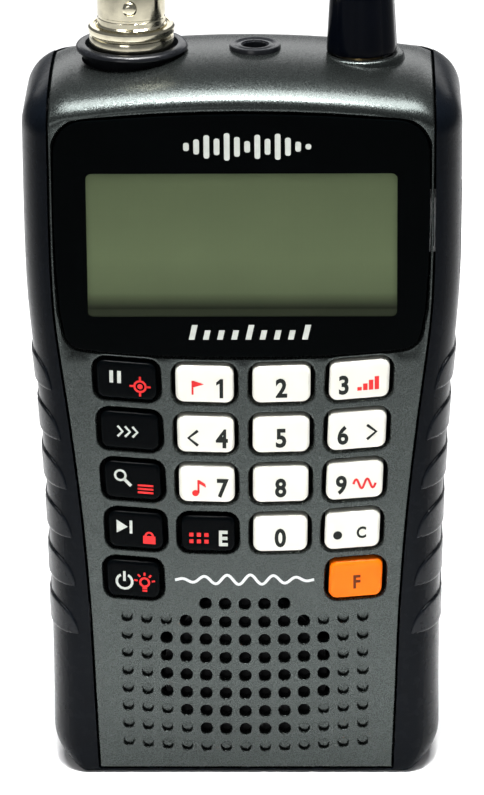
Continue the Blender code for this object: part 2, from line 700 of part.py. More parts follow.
def build_controls():
    """Build the double control, its two shafts and the two knobs on them."""
    spot = (KNOB_X, 0.0, 0.0)
    bm = bmesh.new()
    add_box(bm, (KNOB_X - 0.0048, -0.0050, 0.0900), (KNOB_X + 0.0048, 0.0050, 0.0985))
    control = add_piece("double_control", bm, "steel")
    bush = bmesh.new()
    add_rod(bush, spot, 0.0041, 0.0980, 0.1048, segments=20)
    combine(control, add_piece("control_bush", bush), 'UNION')
    bore = bmesh.new()
    add_rod(bore, spot, 0.0033, SHAFT_FOOT - 0.0005, 0.1080)
    combine(control, add_piece("control_bore", bore), 'DIFFERENCE')

    bm = bmesh.new()
    add_tube(bm, spot, 0.0030, 0.0019, SHAFT_FOOT, 0.1108)
    add_piece("squelch_shaft", bm, "brass", origin=spot)
    bm = bmesh.new()
    add_rod(bm, spot, 0.0015, SHAFT_FOOT, 0.1176, segments=12)
    add_piece("volume_shaft", bm, "steel", origin=spot)

    bm = bmesh.new()
    add_turned(bm, [(0.0033, 0.1053), (0.0050, 0.1053), (0.00455, 0.1143), (0.0043, 0.1146),
                    (0.0033, 0.1146)], spot)
    add_piece("squelch_knob", bm, "black_plastic", origin=spot)
    bm = bmesh.new()
    add_turned(bm, [(0.0, 0.1179), (0.0018, 0.1179), (0.0018, 0.1149), (0.00375, 0.1149), (0.0034, 0.1212),
                    (0.0029, 0.1216), (0.0, 0.1216)], spot)
    add_piece("volume_knob", bm, "black_plastic", origin=spot)


# ---------------------------------------------------------------- side and back hardware

def build_data_port():
    """Build the data port behind the side wall and its rubber cover."""
    bm = bmesh.new()
    add_box(bm, (0.0215, PORT_Y - 0.0020, PORT_Z - 0.0040), (0.0290, PORT_Y + 0.0020, PORT_Z + 0.0040))
    port = add_piece("data_port", bm, "nickel")
    mouth = bmesh.new()
    add_box(mouth, (0.0240, PORT_Y - 0.0015, PORT_Z - 0.0035), (0.0300, PORT_Y + 0.0015, PORT_Z + 0.0035))
    combine(port, add_piece("port_mouth", mouth), 'DIFFERENCE')
    bm = bmesh.new()
    add_box(bm, (0.0303, PORT_Y - 0.0026, PORT_Z - 0.0067), (0.0310, PORT_Y + 0.0026, PORT_Z + 0.0067))
    add_piece("port_cover", bm, "black_rubber", origin=(HALF_WIDTH_HIGH, PORT_Y + 0.0029, PORT_Z))


def build_case_screws():
    """Build the four screws that hold the shells together."""
    for number, x, z in mounting_screws():
        bm = bmesh.new()
        add_turned(bm, [(0.0, -0.0080), (SCREW_RADIUS, -0.0074), (SCREW_RADIUS, 0.0134), (0.0019, 0.0134),
                        (0.0019, 0.0145), (0.0014, 0.0149), (0.0, 0.0149)], (x, 0.0, z), axis='Y', segments=12)
        add_piece(f"case_screw_{number}", bm, "steel")


def build_belt_clip():
    """Build the sprung belt clip: base, arm, pin, spring and screw."""
    pin_y, pin_z = CLIP_PIN
    back = CASE_HALF_DEPTH + GAP
    bm = bmesh.new()
    add_box(bm, (-0.0105, back, pin_z - 0.0090), (0.0105, back + 0.0018, pin_z + 0.0060))
    base = add_piece("clip_base", bm, "black_plastic")
    ears = bmesh.new()
    for low, high in ((-0.0104, -0.0085), (0.0085, 0.0104)):
        add_loft(ears, [[(x, y, z) for z, y in ear_outline()] for x in (low, high)])
    combine(base, add_piece("clip_ears", ears), 'UNION')
    bores = bmesh.new()
    add_rod(bores, (0.0, pin_y, pin_z), SCREW_HOLE, -0.0120, 0.0120, axis='X', segments=12)
    add_rod(bores, (0.0, 0.0, pin_z - 0.0048), SCREW_HOLE, 0.0140, 0.0190, axis='Y', segments=12)
    combine(base, add_piece("clip_base_bores", bores), 'DIFFERENCE')

    bm = bmesh.new()
    add_loft(bm, [[(x, y, z) for y, z in arm_outline()] for x in (-0.0081, 0.0081)])
    arm = add_piece("clip_arm", bm, "black_plastic", origin=(0.0, pin_y, pin_z))
    hubs = bmesh.new()
    for low, high in ((-0.0081, -0.0029), (0.0029, 0.0081)):
        add_rod(hubs, (0.0, pin_y, pin_z), 0.0023, low, high, axis='X')
    combine(arm, add_piece("clip_hubs", hubs), 'UNION')
    bore = bmesh.new()
    add_rod(bore, (0.0, pin_y, pin_z), SCREW_HOLE, -0.0100, 0.0100, axis='X', segments=12)
    combine(arm, add_piece("clip_arm_bore", bore), 'DIFFERENCE')
    window = bmesh.new()
    add_box(window, (-0.0029, pin_y - 0.0040, pin_z - 0.0027), (0.0029, pin_y + 0.0060, pin_z + 0.0027))
    combine(arm, add_piece("clip_arm_window", window), 'DIFFERENCE')

    bm = bmesh.new()
    add_rod(bm, (0.0, pin_y, pin_z), CLIP_PIN_RADIUS, -0.0103, 0.0103, axis='X', segments=12)
    add_piece("clip_pin", bm, "steel")
    bm = bmesh.new()
    add_coil(bm, (0.0, pin_y, pin_z), 0.0017, 0.0003, -0.0021, 0.0021, 4.5, axis='X')
    add_piece("clip_spring", bm, "steel")
    bm = bmesh.new()
    add_turned(bm, [(0.0, 0.0115), (SCREW_RADIUS, 0.0120), (SCREW_RADIUS, 0.0179), (0.0019, 0.0179),
                    (0.0019, 0.0186), (0.0014, 0.0190), (0.0, 0.0190)], (0.0, 0.0, pin_z - 0.0048),
               axis='Y', segments=12)
    add_piece("clip_screw", bm, "steel")


def ear_outline():
    """Side view of a clip ear, as (z, y) points from the base plate round the pin."""
    pin_y, pin_z = CLIP_PIN
    foot = CASE_HALF_DEPTH + 0.0012
    crown = [(pin_z + 0.0024 * cos(a), pin_y + 0.0024 * sin(a)) for a in (0.0, pi / 4, pi / 2, 3 * pi / 4, pi)]
    return [(pin_z - 0.0040, foot), (pin_z + 0.0040, foot)] + crown


def arm_outline():
    """Side view of the clip arm, as (y, z) points: thumb tab, long arm and inward tip."""
    pin_y, pin_z = CLIP_PIN
    near, far = pin_y + 0.0006, pin_y + 0.0024
    tip = CASE_HALF_DEPTH + 0.0010
    foot = pin_z - 0.0285
    return [(near, pin_z + 0.0080), (near, foot + 0.0042), (tip + 0.0012, foot + 0.0030), (tip, foot + 0.0018),
            (tip + 0.0006, foot), (far - 0.0014, foot + 0.0004), (far, foot + 0.0030), (far, pin_z + 0.0060),
            (far + 0.0008, pin_z + 0.0088), (near + 0.0010, pin_z + 0.0090)]


def main():
    """Build every piece of the radio."""
    clear_scene()
    build_front_shell()
    build_rear_shell()
    build_display()
    build_keys()
    build_keypad_mat()
    build_boards()
    build_speaker()
    build_batteries()
    build_aerial_socket()
    build_jack()
    build_controls()
    build_data_port()
    build_case_screws()
    build_belt_clip()


main()
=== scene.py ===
"""Looks of the handheld scanner radio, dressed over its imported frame.

Metres, +Z up. The keypad faces -Y and the radio stands on its bottom face at z = 0.
"""
import json
import logging
import math
from collections.abc import Callable, Iterable, Sequence
from dataclasses import dataclass, field
from enum import Enum

import bmesh
import bpy
from mathutils import Matrix, Vector
from mathutils.geometry import delaunay_2d_cdt


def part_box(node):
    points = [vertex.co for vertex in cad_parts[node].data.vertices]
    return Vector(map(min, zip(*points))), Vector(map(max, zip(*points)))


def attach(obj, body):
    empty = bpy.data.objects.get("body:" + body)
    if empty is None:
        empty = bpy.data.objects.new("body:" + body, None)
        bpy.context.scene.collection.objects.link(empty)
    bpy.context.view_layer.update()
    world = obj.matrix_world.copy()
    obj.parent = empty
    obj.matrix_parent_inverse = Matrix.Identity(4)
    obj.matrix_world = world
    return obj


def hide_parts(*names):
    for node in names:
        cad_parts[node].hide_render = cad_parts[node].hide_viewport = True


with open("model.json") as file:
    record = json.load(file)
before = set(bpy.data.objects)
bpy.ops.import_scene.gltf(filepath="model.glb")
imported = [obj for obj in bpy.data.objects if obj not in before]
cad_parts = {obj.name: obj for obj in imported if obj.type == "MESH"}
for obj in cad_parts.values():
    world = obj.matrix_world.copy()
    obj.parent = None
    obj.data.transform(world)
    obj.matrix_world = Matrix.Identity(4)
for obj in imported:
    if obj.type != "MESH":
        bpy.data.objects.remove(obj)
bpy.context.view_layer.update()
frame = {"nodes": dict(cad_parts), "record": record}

LOG = logging.getLogger("scanner")
Point2 = tuple[float, float]
Point3 = tuple[float, float, float]


# ---------------------------------------------------------------- curves and outlines

def arc(centre: Point2, radius: float, start: float, stop: float, steps: int) -> list[Point2]:
    """Return points on an arc, both ends included."""
    angles = [start + (stop - start) * i / steps for i in range(steps + 1)]
    return [(centre[0] + radius * math.cos(a), centre[1] + radius * math.sin(a)) for a in angles]


def circle(centre: Point2, radius: float, count: int) -> list[Point2]:
    """Return a full circle of points, without repeating the first."""
    return arc(centre, radius, 0.0, math.tau * (count - 1) / count, count - 1)


def smooth_through(points: Sequence[Point2], steps: int) -> list[Point2]:
    """Run a Catmull-Rom curve through points.

    Args:
        points: The points to pass through, in order.
        steps: Pieces between two neighbours.

    Returns:
        The points of the curve, both ends included.
    """
    ends = [points[0], *points, points[-1]]
    curve = []
    for before, here, there, after in zip(ends, ends[1:], ends[2:], ends[3:]):
        for k in range(steps):
            t = k / steps
            weights = (-t + 2 * t * t - t ** 3, 2 - 5 * t * t + 3 * t ** 3, t + 4 * t * t - 3 * t ** 3,
                       t ** 3 - t * t)
            curve.append(tuple(sum(w * p[axis] for w, p in zip(weights, (before, here, there, after))) / 2
                               for axis in (0, 1)))
    return curve + [tuple(points[-1])]


def width_at(curve: Sequence[Point2], height: float) -> float:
    """Read a half width off a curve of (half width, height) points.

    Args:
        curve: Points of the curve, from the bottom up.
        height: Height to read at.

    Returns:
        The half width.
    """
    for (w0, z0), (w1, z1) in zip(curve, curve[1:]):
        if z0 <= height <= z1:
            return w0 + (w1 - w0) * (height - z0) / (z1 - z0)
    return curve[0][0] if height < curve[0][1] else curve[-1][0]


def round_corners(corners: Sequence[tuple[float, float, float]], steps: int = 8) -> list[Point2]:
    """Round the corners of a closed polygon.

    Args:
        corners: Corners as (u, v, radius), counter-clockwise; radius 0 keeps the point.
        steps: Pieces in each rounded corner.

    Returns:
        The points of the rounded outline.
    """
    points: list[Point2] = []
    for i, (u, v, radius) in enumerate(corners):
        here = Vector((u, v))
        if radius == 0.0:
            points.append((u, v))
            continue
        before = (Vector(corners[i - 1][:2]) - here).normalized()
        after = (Vector(corners[(i + 1) % len(corners)][:2]) - here).normalized()
        half = before.angle(after) / 2.0
        centre = here + (before + after).normalized() * (radius / math.sin(half))
        first = here + before * (radius / math.tan(half)) - centre
        last = here + after * (radius / math.tan(half)) - centre
        turn = first.angle_signed(last)
        for k in range(steps + 1):
            angle = -turn * k / steps
            spoke = Matrix.Rotation(angle, 2) @ first
            points.append(tuple(centre + spoke))
    return points


def mirrored(right: Sequence[tuple[float, float, float]]) -> list[tuple[float, float, float]]:
    """Complete a symmetrical outline from the corners of its right half, bottom to top."""
    return [*right, *((-u, v, r) for u, v, r in reversed(right) if u > 0.0)]


def offset_loop(loop: Sequence[Point2], distance: float) -> list[Point2]:
    """Move a counter-clockwise loop outwards by a distance.

    Args:
        loop: The loop's points.
        distance: How far to move it; negative moves it inwards.

    Returns:
        The moved loop, with as many points.
    """
    moved = []
    for i, point in enumerate(loop):
        before, after = Vector(loop[i - 1]), Vector(loop[(i + 1) % len(loop)])
        here = Vector(point)
        first, second = (here - before).normalized(), (after - here).normalized()
        normal = Vector((first.y + second.y, -first.x - second.x)).normalized()
        stretch = max(normal.dot(Vector((first.y, -first.x))), 0.5)
        moved.append(tuple(here + normal * (distance / stretch)))
    return moved


def inside(point: Point2, loop: Sequence[Point2]) -> bool:
    """Say whether a point lies inside a loop.

    Args:
        point: The point.
        loop: The loop's points.

    Returns:
        True when the point is inside.
    """
    u, v = point
    within = False
    for (u0, v0), (u1, v1) in zip(loop, [*loop[1:], loop[0]]):
        if (v0 > v) != (v1 > v) and u < (u1 - u0) * (v - v0) / (v1 - v0) + u0:
            within = not within
    return within


def edge_profile(radius: float, steps: int = 4) -> list[Point2]:
    """Return (distance from the wall, depth) pairs of a rounded edge, from the face to the wall.

    Args:
        radius: Radius of the rounding.
        steps: Pieces in the rounding.

    Returns:
        The pairs, in order.
    """
    pairs = [(radius * 1.25, 0.0)]
    for k in range(steps + 1):
        angle = math.pi / 2 * k / steps
        pairs.append((radius * (1.0 - math.sin(angle)), radius * (1.0 - math.cos(angle))))
    return pairs


# ---------------------------------------------------------------- mesh maker

class Piece:
    """Gathers the faces of one piece and turns them into a dressed object."""

    def __init__(self, name: str) -> None:
        """Start an empty piece."""
        self.name = name
        self.bm = bmesh.new()

    def skin(self, rings: Sequence[Sequence[Point3]], closed: bool = True, caps: str = "",
             finish: int = 0) -> None:
        """Skin a row of rings with equal counts.

        Args:
            rings: Rings of points.
            closed: Whether each ring is a loop.
            caps: "start", "end" or "both" to close the ends.
            finish: Material index of the new faces.
        """
        loops = [[self.bm.verts.new(point) for point in ring] for ring in rings]
        self.bridge(loops, closed, finish)
        if caps in ("start", "both"):
            self.bm.faces.new(loops[0]).material_index = finish
        if caps in ("end", "both"):
            self.bm.faces.new(list(reversed(loops[-1]))).material_index = finish

    def bridge(self, loops: Sequence[Sequence[bmesh.types.BMVert]], closed: bool, finish: int = 0) -> None:
        """Join neighbouring rows of vertices with faces.

        Args:
            loops: Rows of vertices, equal in count.
            closed: Whether each row is a loop.
            finish: Material index of the new faces.
        """
        count = len(loops[0])
        for near, far in zip(loops, loops[1:]):
            for i in range(count if closed else count - 1):
                j = (i + 1) % count
                face = self.bm.faces.new((near[i], near[j], far[j], far[i]))
                face.material_index = finish

    def turned(self, profile: Sequence[Point2], spot: Point3, axis: str = "Z", segments: int = 64,
               finish: int = 0, swell: Callable[[float], float] | None = None) -> None:
        """Turn a (radius, height) profile round an axis.

        Args:
            profile: The profile; an end with radius 0 closes on the axis.
            spot: A point on the axis, added to the profile.
            axis: "X", "Y" or "Z".
            segments: Facets round the axis.
            finish: Material index of the new faces.
            swell: Optional factor on the radius at an angle.
        """
        tilt = {"X": Matrix.Rotation(math.pi / 2, 3, "Y"), "Y": Matrix.Rotation(-math.pi / 2, 3, "X"),
                "Z": Matrix.Identity(3)}[axis]
        rows = []
        for radius, height in profile:
            row = []
            for i in range(segments if radius > 0.0 else 1):
                angle = math.tau * i / segments
                reach = radius * (swell(angle) if swell else 1.0)
                point = Vector((reach * math.cos(angle), reach * math.sin(angle), height))
                row.append(self.bm.verts.new(Vector(spot) + tilt @ point))
            rows.append(row)
        for near, far in zip(rows, rows[1:]):
            for i in range(segments):
                j = (i + 1) % segments
                corners = [near[i % len(near)], near[j % len(near)], far[j % len(far)], far[i % len(far)]]
                unique = list(dict.fromkeys(corners))
                if len(unique) > 2:
                    self.bm.faces.new(unique).material_index = finish

    def slab(self, low: Point3, high: Point3, finish: int = 0, bevel: float = 0.0) -> None:
        """Add a box between two corners, with its edges bevelled by an amount.

        Args:
            low: The lowest corner.
            high: The highest corner.
            finish: Material index of the new faces.
            bevel: Width of the bevel.
        """
        size = Vector(high) - Vector(low)
        centre = (Vector(high) + Vector(low)) / 2.0
        cube = bmesh.ops.create_cube(self.bm, size=1.0)["verts"]
        bmesh.ops.scale(self.bm, vec=size, verts=cube)
        bmesh.ops.translate(self.bm, vec=centre, verts=cube)
        faces = {face for vert in cube for face in vert.link_faces}
        for face in faces:
            face.material_index = finish
        if bevel > 0.0:
            edges = {edge for face in faces for edge in face.edges}
            bmesh.ops.bevel(self.bm, geom=list(edges), offset=bevel, segments=3, profile=0.5, affect="EDGES")

    def mesh_from(self, mesh: bpy.types.Mesh, place: Matrix, finish: int = 0) -> None:
        """Add a copy of a mesh, moved by a matrix.

        Args:
            mesh: The mesh to copy.
            place: Where the copy goes.
            finish: Material index of the new faces.
        """
        known = set(self.bm.faces)
        start = len(self.bm.verts)
        self.bm.from_mesh(mesh)
        self.bm.verts.ensure_lookup_table()
        bmesh.ops.transform(self.bm, matrix=place, verts=self.bm.verts[start:])
        for face in self.bm.faces:
            if face not in known:
                face.material_index = finish

    def make(self, finishes: Sequence["Finish"], body: str, slot: str, stands_for: Iterable[str] = (),
             sharp: float = 35.0, tidy: bool = True) -> bpy.types.Object:
        """Turn the piece into an object that rides on a body.

        Args:
            finishes: One finish for each material index.
            body: The body that it rides on.
            slot: The record's material slot; not used.
            stands_for: CAD nodes that it replaces.
            sharp: Angle in degrees above which an edge stays sharp.
            tidy: Whether to recalculate the faces' directions.

        Returns:
            The new object.
        """
        if tidy:
            bmesh.ops.recalc_face_normals(self.bm, faces=self.bm.faces)
        mesh = bpy.data.meshes.new(self.name)
        self.bm.to_mesh(mesh)
        self.bm.free()
        for finish in finishes:
            mesh.materials.append(finish.material())
        mesh.shade_smooth()
        mesh.set_sharp_from_angle(angle=math.radians(sharp))
        made = bpy.data.objects.new(self.name, mesh)
        bpy.context.scene.collection.objects.link(made)
        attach(made, body)
        if stands_for:
            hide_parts(*stands_for)
        LOG.info("%s: %d faces on %s", self.name, len(mesh.polygons), body)
        return made


class Sheet:
    """A surface with holes, triangulated flat and then lifted into place."""

    SCALE = 1000.0

    def __init__(self, lift: Callable[[float, float, float], Point3]) -> None:
        """Start a sheet whose lift takes (u, v, depth) to a point.

        Args:
            lift: Takes flat coordinates and a depth to a point.
        """
        self.lift = lift
        self.points: list[Point2] = []
        self.edges: list[tuple[int, int]] = []
        self.holes: list[list[Point2]] = []
        self.rims: list[tuple[int, list[Point2], list[Point2], int]] = []
        self.outer: list[Point2] = []

    def add_loop(self, wall: Sequence[Point2], profile: Sequence[Point2], outer: bool = False,
                 finish: int = 0) -> None:
        """Add the outer boundary, or a hole, with the edge profile that leads down its wall.

        Args:
            wall: The opening's wall, counter-clockwise.
            profile: (distance from the wall, depth) pairs, from the face to the wall's foot.
            outer: True for the outer boundary.
            finish: Material index of the rim's faces.
        """
        sign = -1.0 if outer else 1.0
        loop = offset_loop(wall, sign * profile[0][0])
        start = len(self.points)
        self.points.extend(loop)
        self.edges.extend((start + i, start + (i + 1) % len(loop)) for i in range(len(loop)))
        self.rims.append((start, list(wall), [(sign * d, depth) for d, depth in profile], finish))
        if outer:
            self.outer = loop
        else:
            self.holes.append(loop)

    def add_points(self, points: Iterable[Point2], margin: float) -> None:
        """Add inner points that keep a margin from every loop.

        Args:
            points: Points to offer.
            margin: Room to keep.
        """
        room = offset_loop(self.outer, -margin)
        grown = [offset_loop(hole, margin) for hole in self.holes]
        for point in points:
            if inside(point, room) and not any(inside(point, hole) for hole in grown):
                self.points.append(point)

    def build(self, piece: Piece) -> None:
        """Triangulate the sheet into a piece and add the rims.

        Args:
            piece: The piece that takes the faces.
        """
        flat = [Vector(point) * self.SCALE for point in self.points]
        verts, _, faces, origins, _, _ = delaunay_2d_cdt(flat, self.edges, [], 0, 1e-6)
        place = {source: i for i, sources in enumerate(origins) for source in sources}
        boxes = [(min(p[0] for p in h), max(p[0] for p in h), min(p[1] for p in h), max(p[1] for p in h), h)
                 for h in self.holes]
        made = [piece.bm.verts.new(self.lift(v.x / self.SCALE, v.y / self.SCALE, 0.0)) for v in verts]
        for face in faces:
            centre = sum((verts[i] for i in face), Vector((0.0, 0.0))) / (len(face) * self.SCALE)
            if not inside(centre, self.outer):
                continue
            if any(u0 < centre.x < u1 and v0 < centre.y < v1 and inside(centre, hole)
                   for u0, u1, v0, v1, hole in boxes):
                continue
            piece.bm.faces.new([made[i] for i in face])
        for start, wall, profile, finish in self.rims:
            rows = [[made[place[start + i]] for i in range(len(wall))]]
            for distance, depth in profile[1:]:
                ring = offset_loop(wall, distance)
                rows.append([piece.bm.verts.new(self.lift(u, v, depth)) for u, v in ring])
            piece.bridge(rows, True, finish)
        loose = [vert for vert in piece.bm.verts if not vert.link_faces]
        bmesh.ops.delete(piece.bm, geom=loose, context="VERTS")


# ---------------------------------------------------------------- finishes

class Shading:
    """Short ways to wire one material's nodes."""

    def __init__(self, name: str) -> None:
        """Start a Principled material read in the part's own coordinates.

        Args:
            name: Name of the material.
        """
        self.material = bpy.data.materials.new(name)
        self.material.use_nodes = True
        self.tree = self.material.node_tree
        self.shader = self.tree.nodes["Principled BSDF"]
        self.place = self.tree.nodes.new("ShaderNodeTexCoord").outputs["Object"]

    def node(self, kind: str, inputs: dict[str, object] | None = None, **settings: object) -> bpy.types.Node:
        """Add a node with settings and with values or links on its inputs.

        Args:
            kind: The node's type, without its ShaderNode prefix.
            inputs: A value or a socket for each input, by name or by number.
            settings: Properties of the node.

        Returns:
            The new node.
        """
        made = self.tree.nodes.new(f"ShaderNode{kind}")
        for key, value in settings.items():
            setattr(made, key, value)
        for key, value in (inputs or {}).items():
            socket = made.inputs[int(key)] if key.isdigit() else made.inputs[key]
            if isinstance(value, bpy.types.NodeSocket):
                self.tree.links.new(value, socket)
            else:
                socket.default_value = value
        return made

    def noise(self, size: float, detail: float = 3.0,
              stretch: Point3 = (1.0, 1.0, 1.0)) -> bpy.types.NodeSocket:
        """Return a noise value whose blobs have a size in metres.

        Args:
            size: Size of the blobs.
            detail: Octaves of finer noise.
            stretch: Factors on the three axes.

        Returns:
            The noise's output.
        """
        place = self.place
        if stretch != (1.0, 1.0, 1.0):
            place = self.node("Mapping", {"Vector": self.place, "Scale": stretch}).outputs[0]
        return self.node("TexNoise", {"Vector": place, "Scale": 1.0 / size, "Detail": detail}).outputs["Fac"]

    def math(self, operation: str, first: object, second: object = 0.0) -> bpy.types.NodeSocket:
        """Return the result of a Math node."""
        return self.node("Math", {"0": first, "1": second}, operation=operation).outputs[0]

    def span(self, value: bpy.types.NodeSocket, low: float, high: float, out_low: float,
             out_high: float) -> bpy.types.NodeSocket:
        """Map a range of a value onto another range, clamped."""
        inputs = {"Value": value, "From Min": low, "From Max": high, "To Min": out_low, "To Max": out_high}
        return self.node("MapRange", inputs).outputs[0]

    def blend(self, share: object, first: object, second: object, mode: str = "MIX") -> bpy.types.NodeSocket:
        """Blend two colours by a share.

        Args:
            share: Share of the second colour, a number or a socket.
            first: The first colour.
            second: The second colour.
            mode: How they are blended.

        Returns:
            The blended colour.
        """
        made = self.node("Mix", data_type="RGBA", blend_type=mode)
        for index, value in ((0, share), (6, first), (7, second)):
            if isinstance(value, bpy.types.NodeSocket):
                self.tree.links.new(value, made.inputs[index])
            else:
                made.inputs[index].default_value = value if index == 0 else (*value, 1.0)
        return made.outputs[2]

    def drive(self, name: str, value: bpy.types.NodeSocket) -> None:
        """Link a value to a socket of the shader."""
        self.tree.links.new(value, self.shader.inputs[name])

    def bump(self, heights: Sequence[tuple[bpy.types.NodeSocket, float]]) -> None:
        """Stack bumps given as (value, depth in metres).

        Args:
            heights: The bumps, broadest first.
        """
        normal = None
        for value, depth in heights:
            inputs = {"Height": value, "Distance": depth, "Strength": 1.0}
            if normal is not None:
                inputs["Normal"] = normal
            normal = self.node("Bump", inputs).outputs[0]
        self.drive("Normal", normal)


MATERIALS: dict[str, bpy.types.Material] = {}


@dataclass(frozen=True)
class Finish:
    """A moulded or painted surface with fine grain, faint mottling and uneven gloss."""

    name: str
    colour: Point3
    roughness: float = 0.4
    metallic: float = 0.0
    specular: float = 0.5
    coat: float = 0.0
    coat_roughness: float = 0.05
    grain: float = 0.00018
    grain_depth: float = 0.000004
    mottle: float = 0.12
    mottle_size: float = 0.004

    def material(self) -> bpy.types.Material:
        """Return the material, made once.

        Returns:
            The material of this finish.
        """
        if self.name in MATERIALS:
            return MATERIALS[self.name]
        shading = Shading(self.name)
        shading.shader.inputs["Metallic"].default_value = self.metallic
        shading.shader.inputs["Specular IOR Level"].default_value = self.specular
        shading.shader.inputs["Coat Weight"].default_value = self.coat
        shading.shader.inputs["Coat Roughness"].default_value = self.coat_roughness
        self.dress(shading)
        MATERIALS[self.name] = shading.material
        return shading.material

    def tones(self, low: float, high: float) -> tuple[Point3, Point3]:
        """Return a darker and a lighter tone of the colour."""
        return tuple(c * low for c in self.colour), tuple(min(c * high, 1.0) for c in self.colour)

    def dress(self, shading: Shading) -> None:
        """Wire the colour, the gloss and the grain.

        Args:
            shading: The material being wired.
        """
        broad = shading.noise(self.mottle_size, 4.0)
        dark, light = self.tones(1.0 - self.mottle, 1.0 + self.mottle)
        shading.drive("Base Color", shading.blend(shading.span(broad, 0.3, 0.7, 0.0, 1.0), dark, light))
        wear = shading.noise(self.mottle_size * 0.35, 5.0)
        low, high = self.roughness * 0.88, min(self.roughness * 1.14, 1.0)
        shading.drive("Roughness", shading.span(wear, 0.3, 0.7, low, high))
        shading.bump([(shading.noise(self.grain, 2.0), self.grain_depth)])


@dataclass(frozen=True)
class MetallicPaint(Finish):
    """Dark paint with fine metal flakes under a thin satin lacquer."""

    flake: float = 0.00010
    flake_share: float = 0.55
    glitter: float = 0.09

    def dress(self, shading: Shading) -> None:
        """Wire the flakes, the drift of tone and the lacquer's fine texture.

        Args:
            shading: The material being wired.
        """
        cells = shading.node("TexVoronoi", {"Vector": shading.place, "Scale": 1.0 / self.flake})
        spark = shading.node("SeparateColor", {"Color": cells.outputs["Color"]}).outputs[0]
        dark, light = self.tones(0.55, 1.75)
        flakes = shading.blend(shading.span(spark, 0.15, 1.0, 0.0, 1.0), dark, light)
        broad = shading.span(shading.noise(0.012, 2.0), 0.3, 0.7, 0.0, 1.0)
        drift = shading.blend(broad, *self.tones(0.92, 1.08))
        shading.drive("Base Color", shading.blend(self.flake_share, drift, flakes))
        low, high = self.roughness * 0.85, self.roughness * 1.2
        shading.drive("Roughness", shading.span(spark, 0.0, 1.0, low, high))
        normal = shading.node("NewGeometry").outputs["Normal"]
        tilt = shading.node("VectorMath", {"0": cells.outputs["Color"], "1": (0.5, 0.5, 0.5)},
                            operation="SUBTRACT")
        lean = shading.node("VectorMath", {"0": tilt.outputs[0], "Scale": self.glitter}, operation="SCALE")
        mixed = shading.node("VectorMath", {"0": normal, "1": lean.outputs[0]}, operation="ADD")
        facing = shading.node("VectorMath", {"0": mixed.outputs[0]}, operation="NORMALIZE").outputs[0]
        fine = shading.noise(0.00035, 2.0)
        rough = shading.node("Bump", {"Height": fine, "Distance": self.grain_depth, "Normal": facing})
        shading.drive("Normal", rough.outputs[0])


@dataclass(frozen=True)
class LcdFace(Finish):
    """A blank reflective LCD: a soft grey-green field with painted shade and a painted reflection along its
    frame, and a faint dot grid.
    """

    low: float = 0.07075
    high: float = 0.09195
    half_width: float = 0.0217
    dot: float = 0.00042

    def dress(self, shading: Shading) -> None:
        """Wire the field, the painted shade and painted reflection along its frame, and the dot grid.

        Args:
            shading: The material being wired.
        """
        parts = shading.node("SeparateXYZ", {"Vector": shading.place}).outputs
        # Painted shade: the field is made darker towards its top, in a band at its foot and along its top and
        # side edges, where the frame's shadow falls.
        painted_shade_gradient = shading.span(parts[2], self.low + 0.009, self.high, 1.05, 0.84)
        # Painted reflection: a thin, slightly lighter strip at the very foot stands for the frame's inner
        # edge catching light.
        painted_reflection_strip = shading.span(parts[2], self.low + 0.0010, self.low + 0.0013, 0.13, 0.0)
        near = shading.span(parts[2], self.low + 0.0012, self.low + 0.0036, 0.07, 1.0)
        far = shading.span(parts[2], self.low + 0.0030, self.low + 0.0085, 0.78, 1.0)
        painted_foot_shade = shading.math("MULTIPLY", near, far)
        bottom = shading.math("ADD", painted_foot_shade, painted_reflection_strip)
        top = shading.span(parts[2], self.high - 0.0006, self.high - 0.0001, 1.0, 0.86)
        reach = shading.math("ABSOLUTE", parts[0])
        side = shading.span(reach, self.half_width - 0.0007, self.half_width, 1.0, 0.82)
        across = shading.math("PINGPONG", parts[0], self.dot)
        along = shading.math("PINGPONG", parts[2], self.dot)
        lines = shading.math("MINIMUM", across, along)
        dots = shading.span(lines, 0.0, self.dot * 0.12, 0.975, 1.0)
        drift = shading.span(shading.noise(0.009, 3.0), 0.3, 0.7, 0.97, 1.03)
        shade = painted_shade_gradient
        for factor in (bottom, top, side, dots, drift):
            shade = shading.math("MULTIPLY", shade, factor)
        grey = shading.node("CombineColor", {"0": shade, "1": shade, "2": shade}).outputs[0]
        shading.drive("Base Color", shading.blend(1.0, self.colour, grey, "MULTIPLY"))
        shading.drive("Roughness", shading.span(shading.noise(0.002, 3.0), 0.3, 0.7, 0.30, 0.36))
        shading.bump([(dots, 0.0000004)])


@dataclass(frozen=True)
class CircuitBoard(Finish):
    """Green solder mask over a pattern of copper tracks."""

    track: float = 0.0009

    def dress(self, shading: Shading) -> None:
        """Wire the tracks under the mask.

        Args:
            shading: The material being wired.
        """
        stripes = shading.node("TexBrick", {"Vector": shading.node(
            "Mapping", {"Vector": shading.place, "Rotation": (math.pi / 2, 0.0, 0.0)}).outputs[0],
            "Scale": 1.0, "Mortar Size": self.track * 0.16, "Brick Width": self.track * 6.0,
            "Row Height": self.track})
        dark, light = self.tones(0.75, 2.1)
        tracks = shading.blend(stripes.outputs["Fac"], dark, light)
        grime = shading.span(shading.noise(0.006, 4.0), 0.35, 0.65, 0.0, 0.35)
        shading.drive("Base Color", shading.blend(grime, tracks, dark))
        shading.drive("Roughness", shading.span(shading.noise(0.001), 0.3, 0.7, 0.28, 0.42))
        shading.bump([(stripes.outputs["Fac"], 0.00003)])


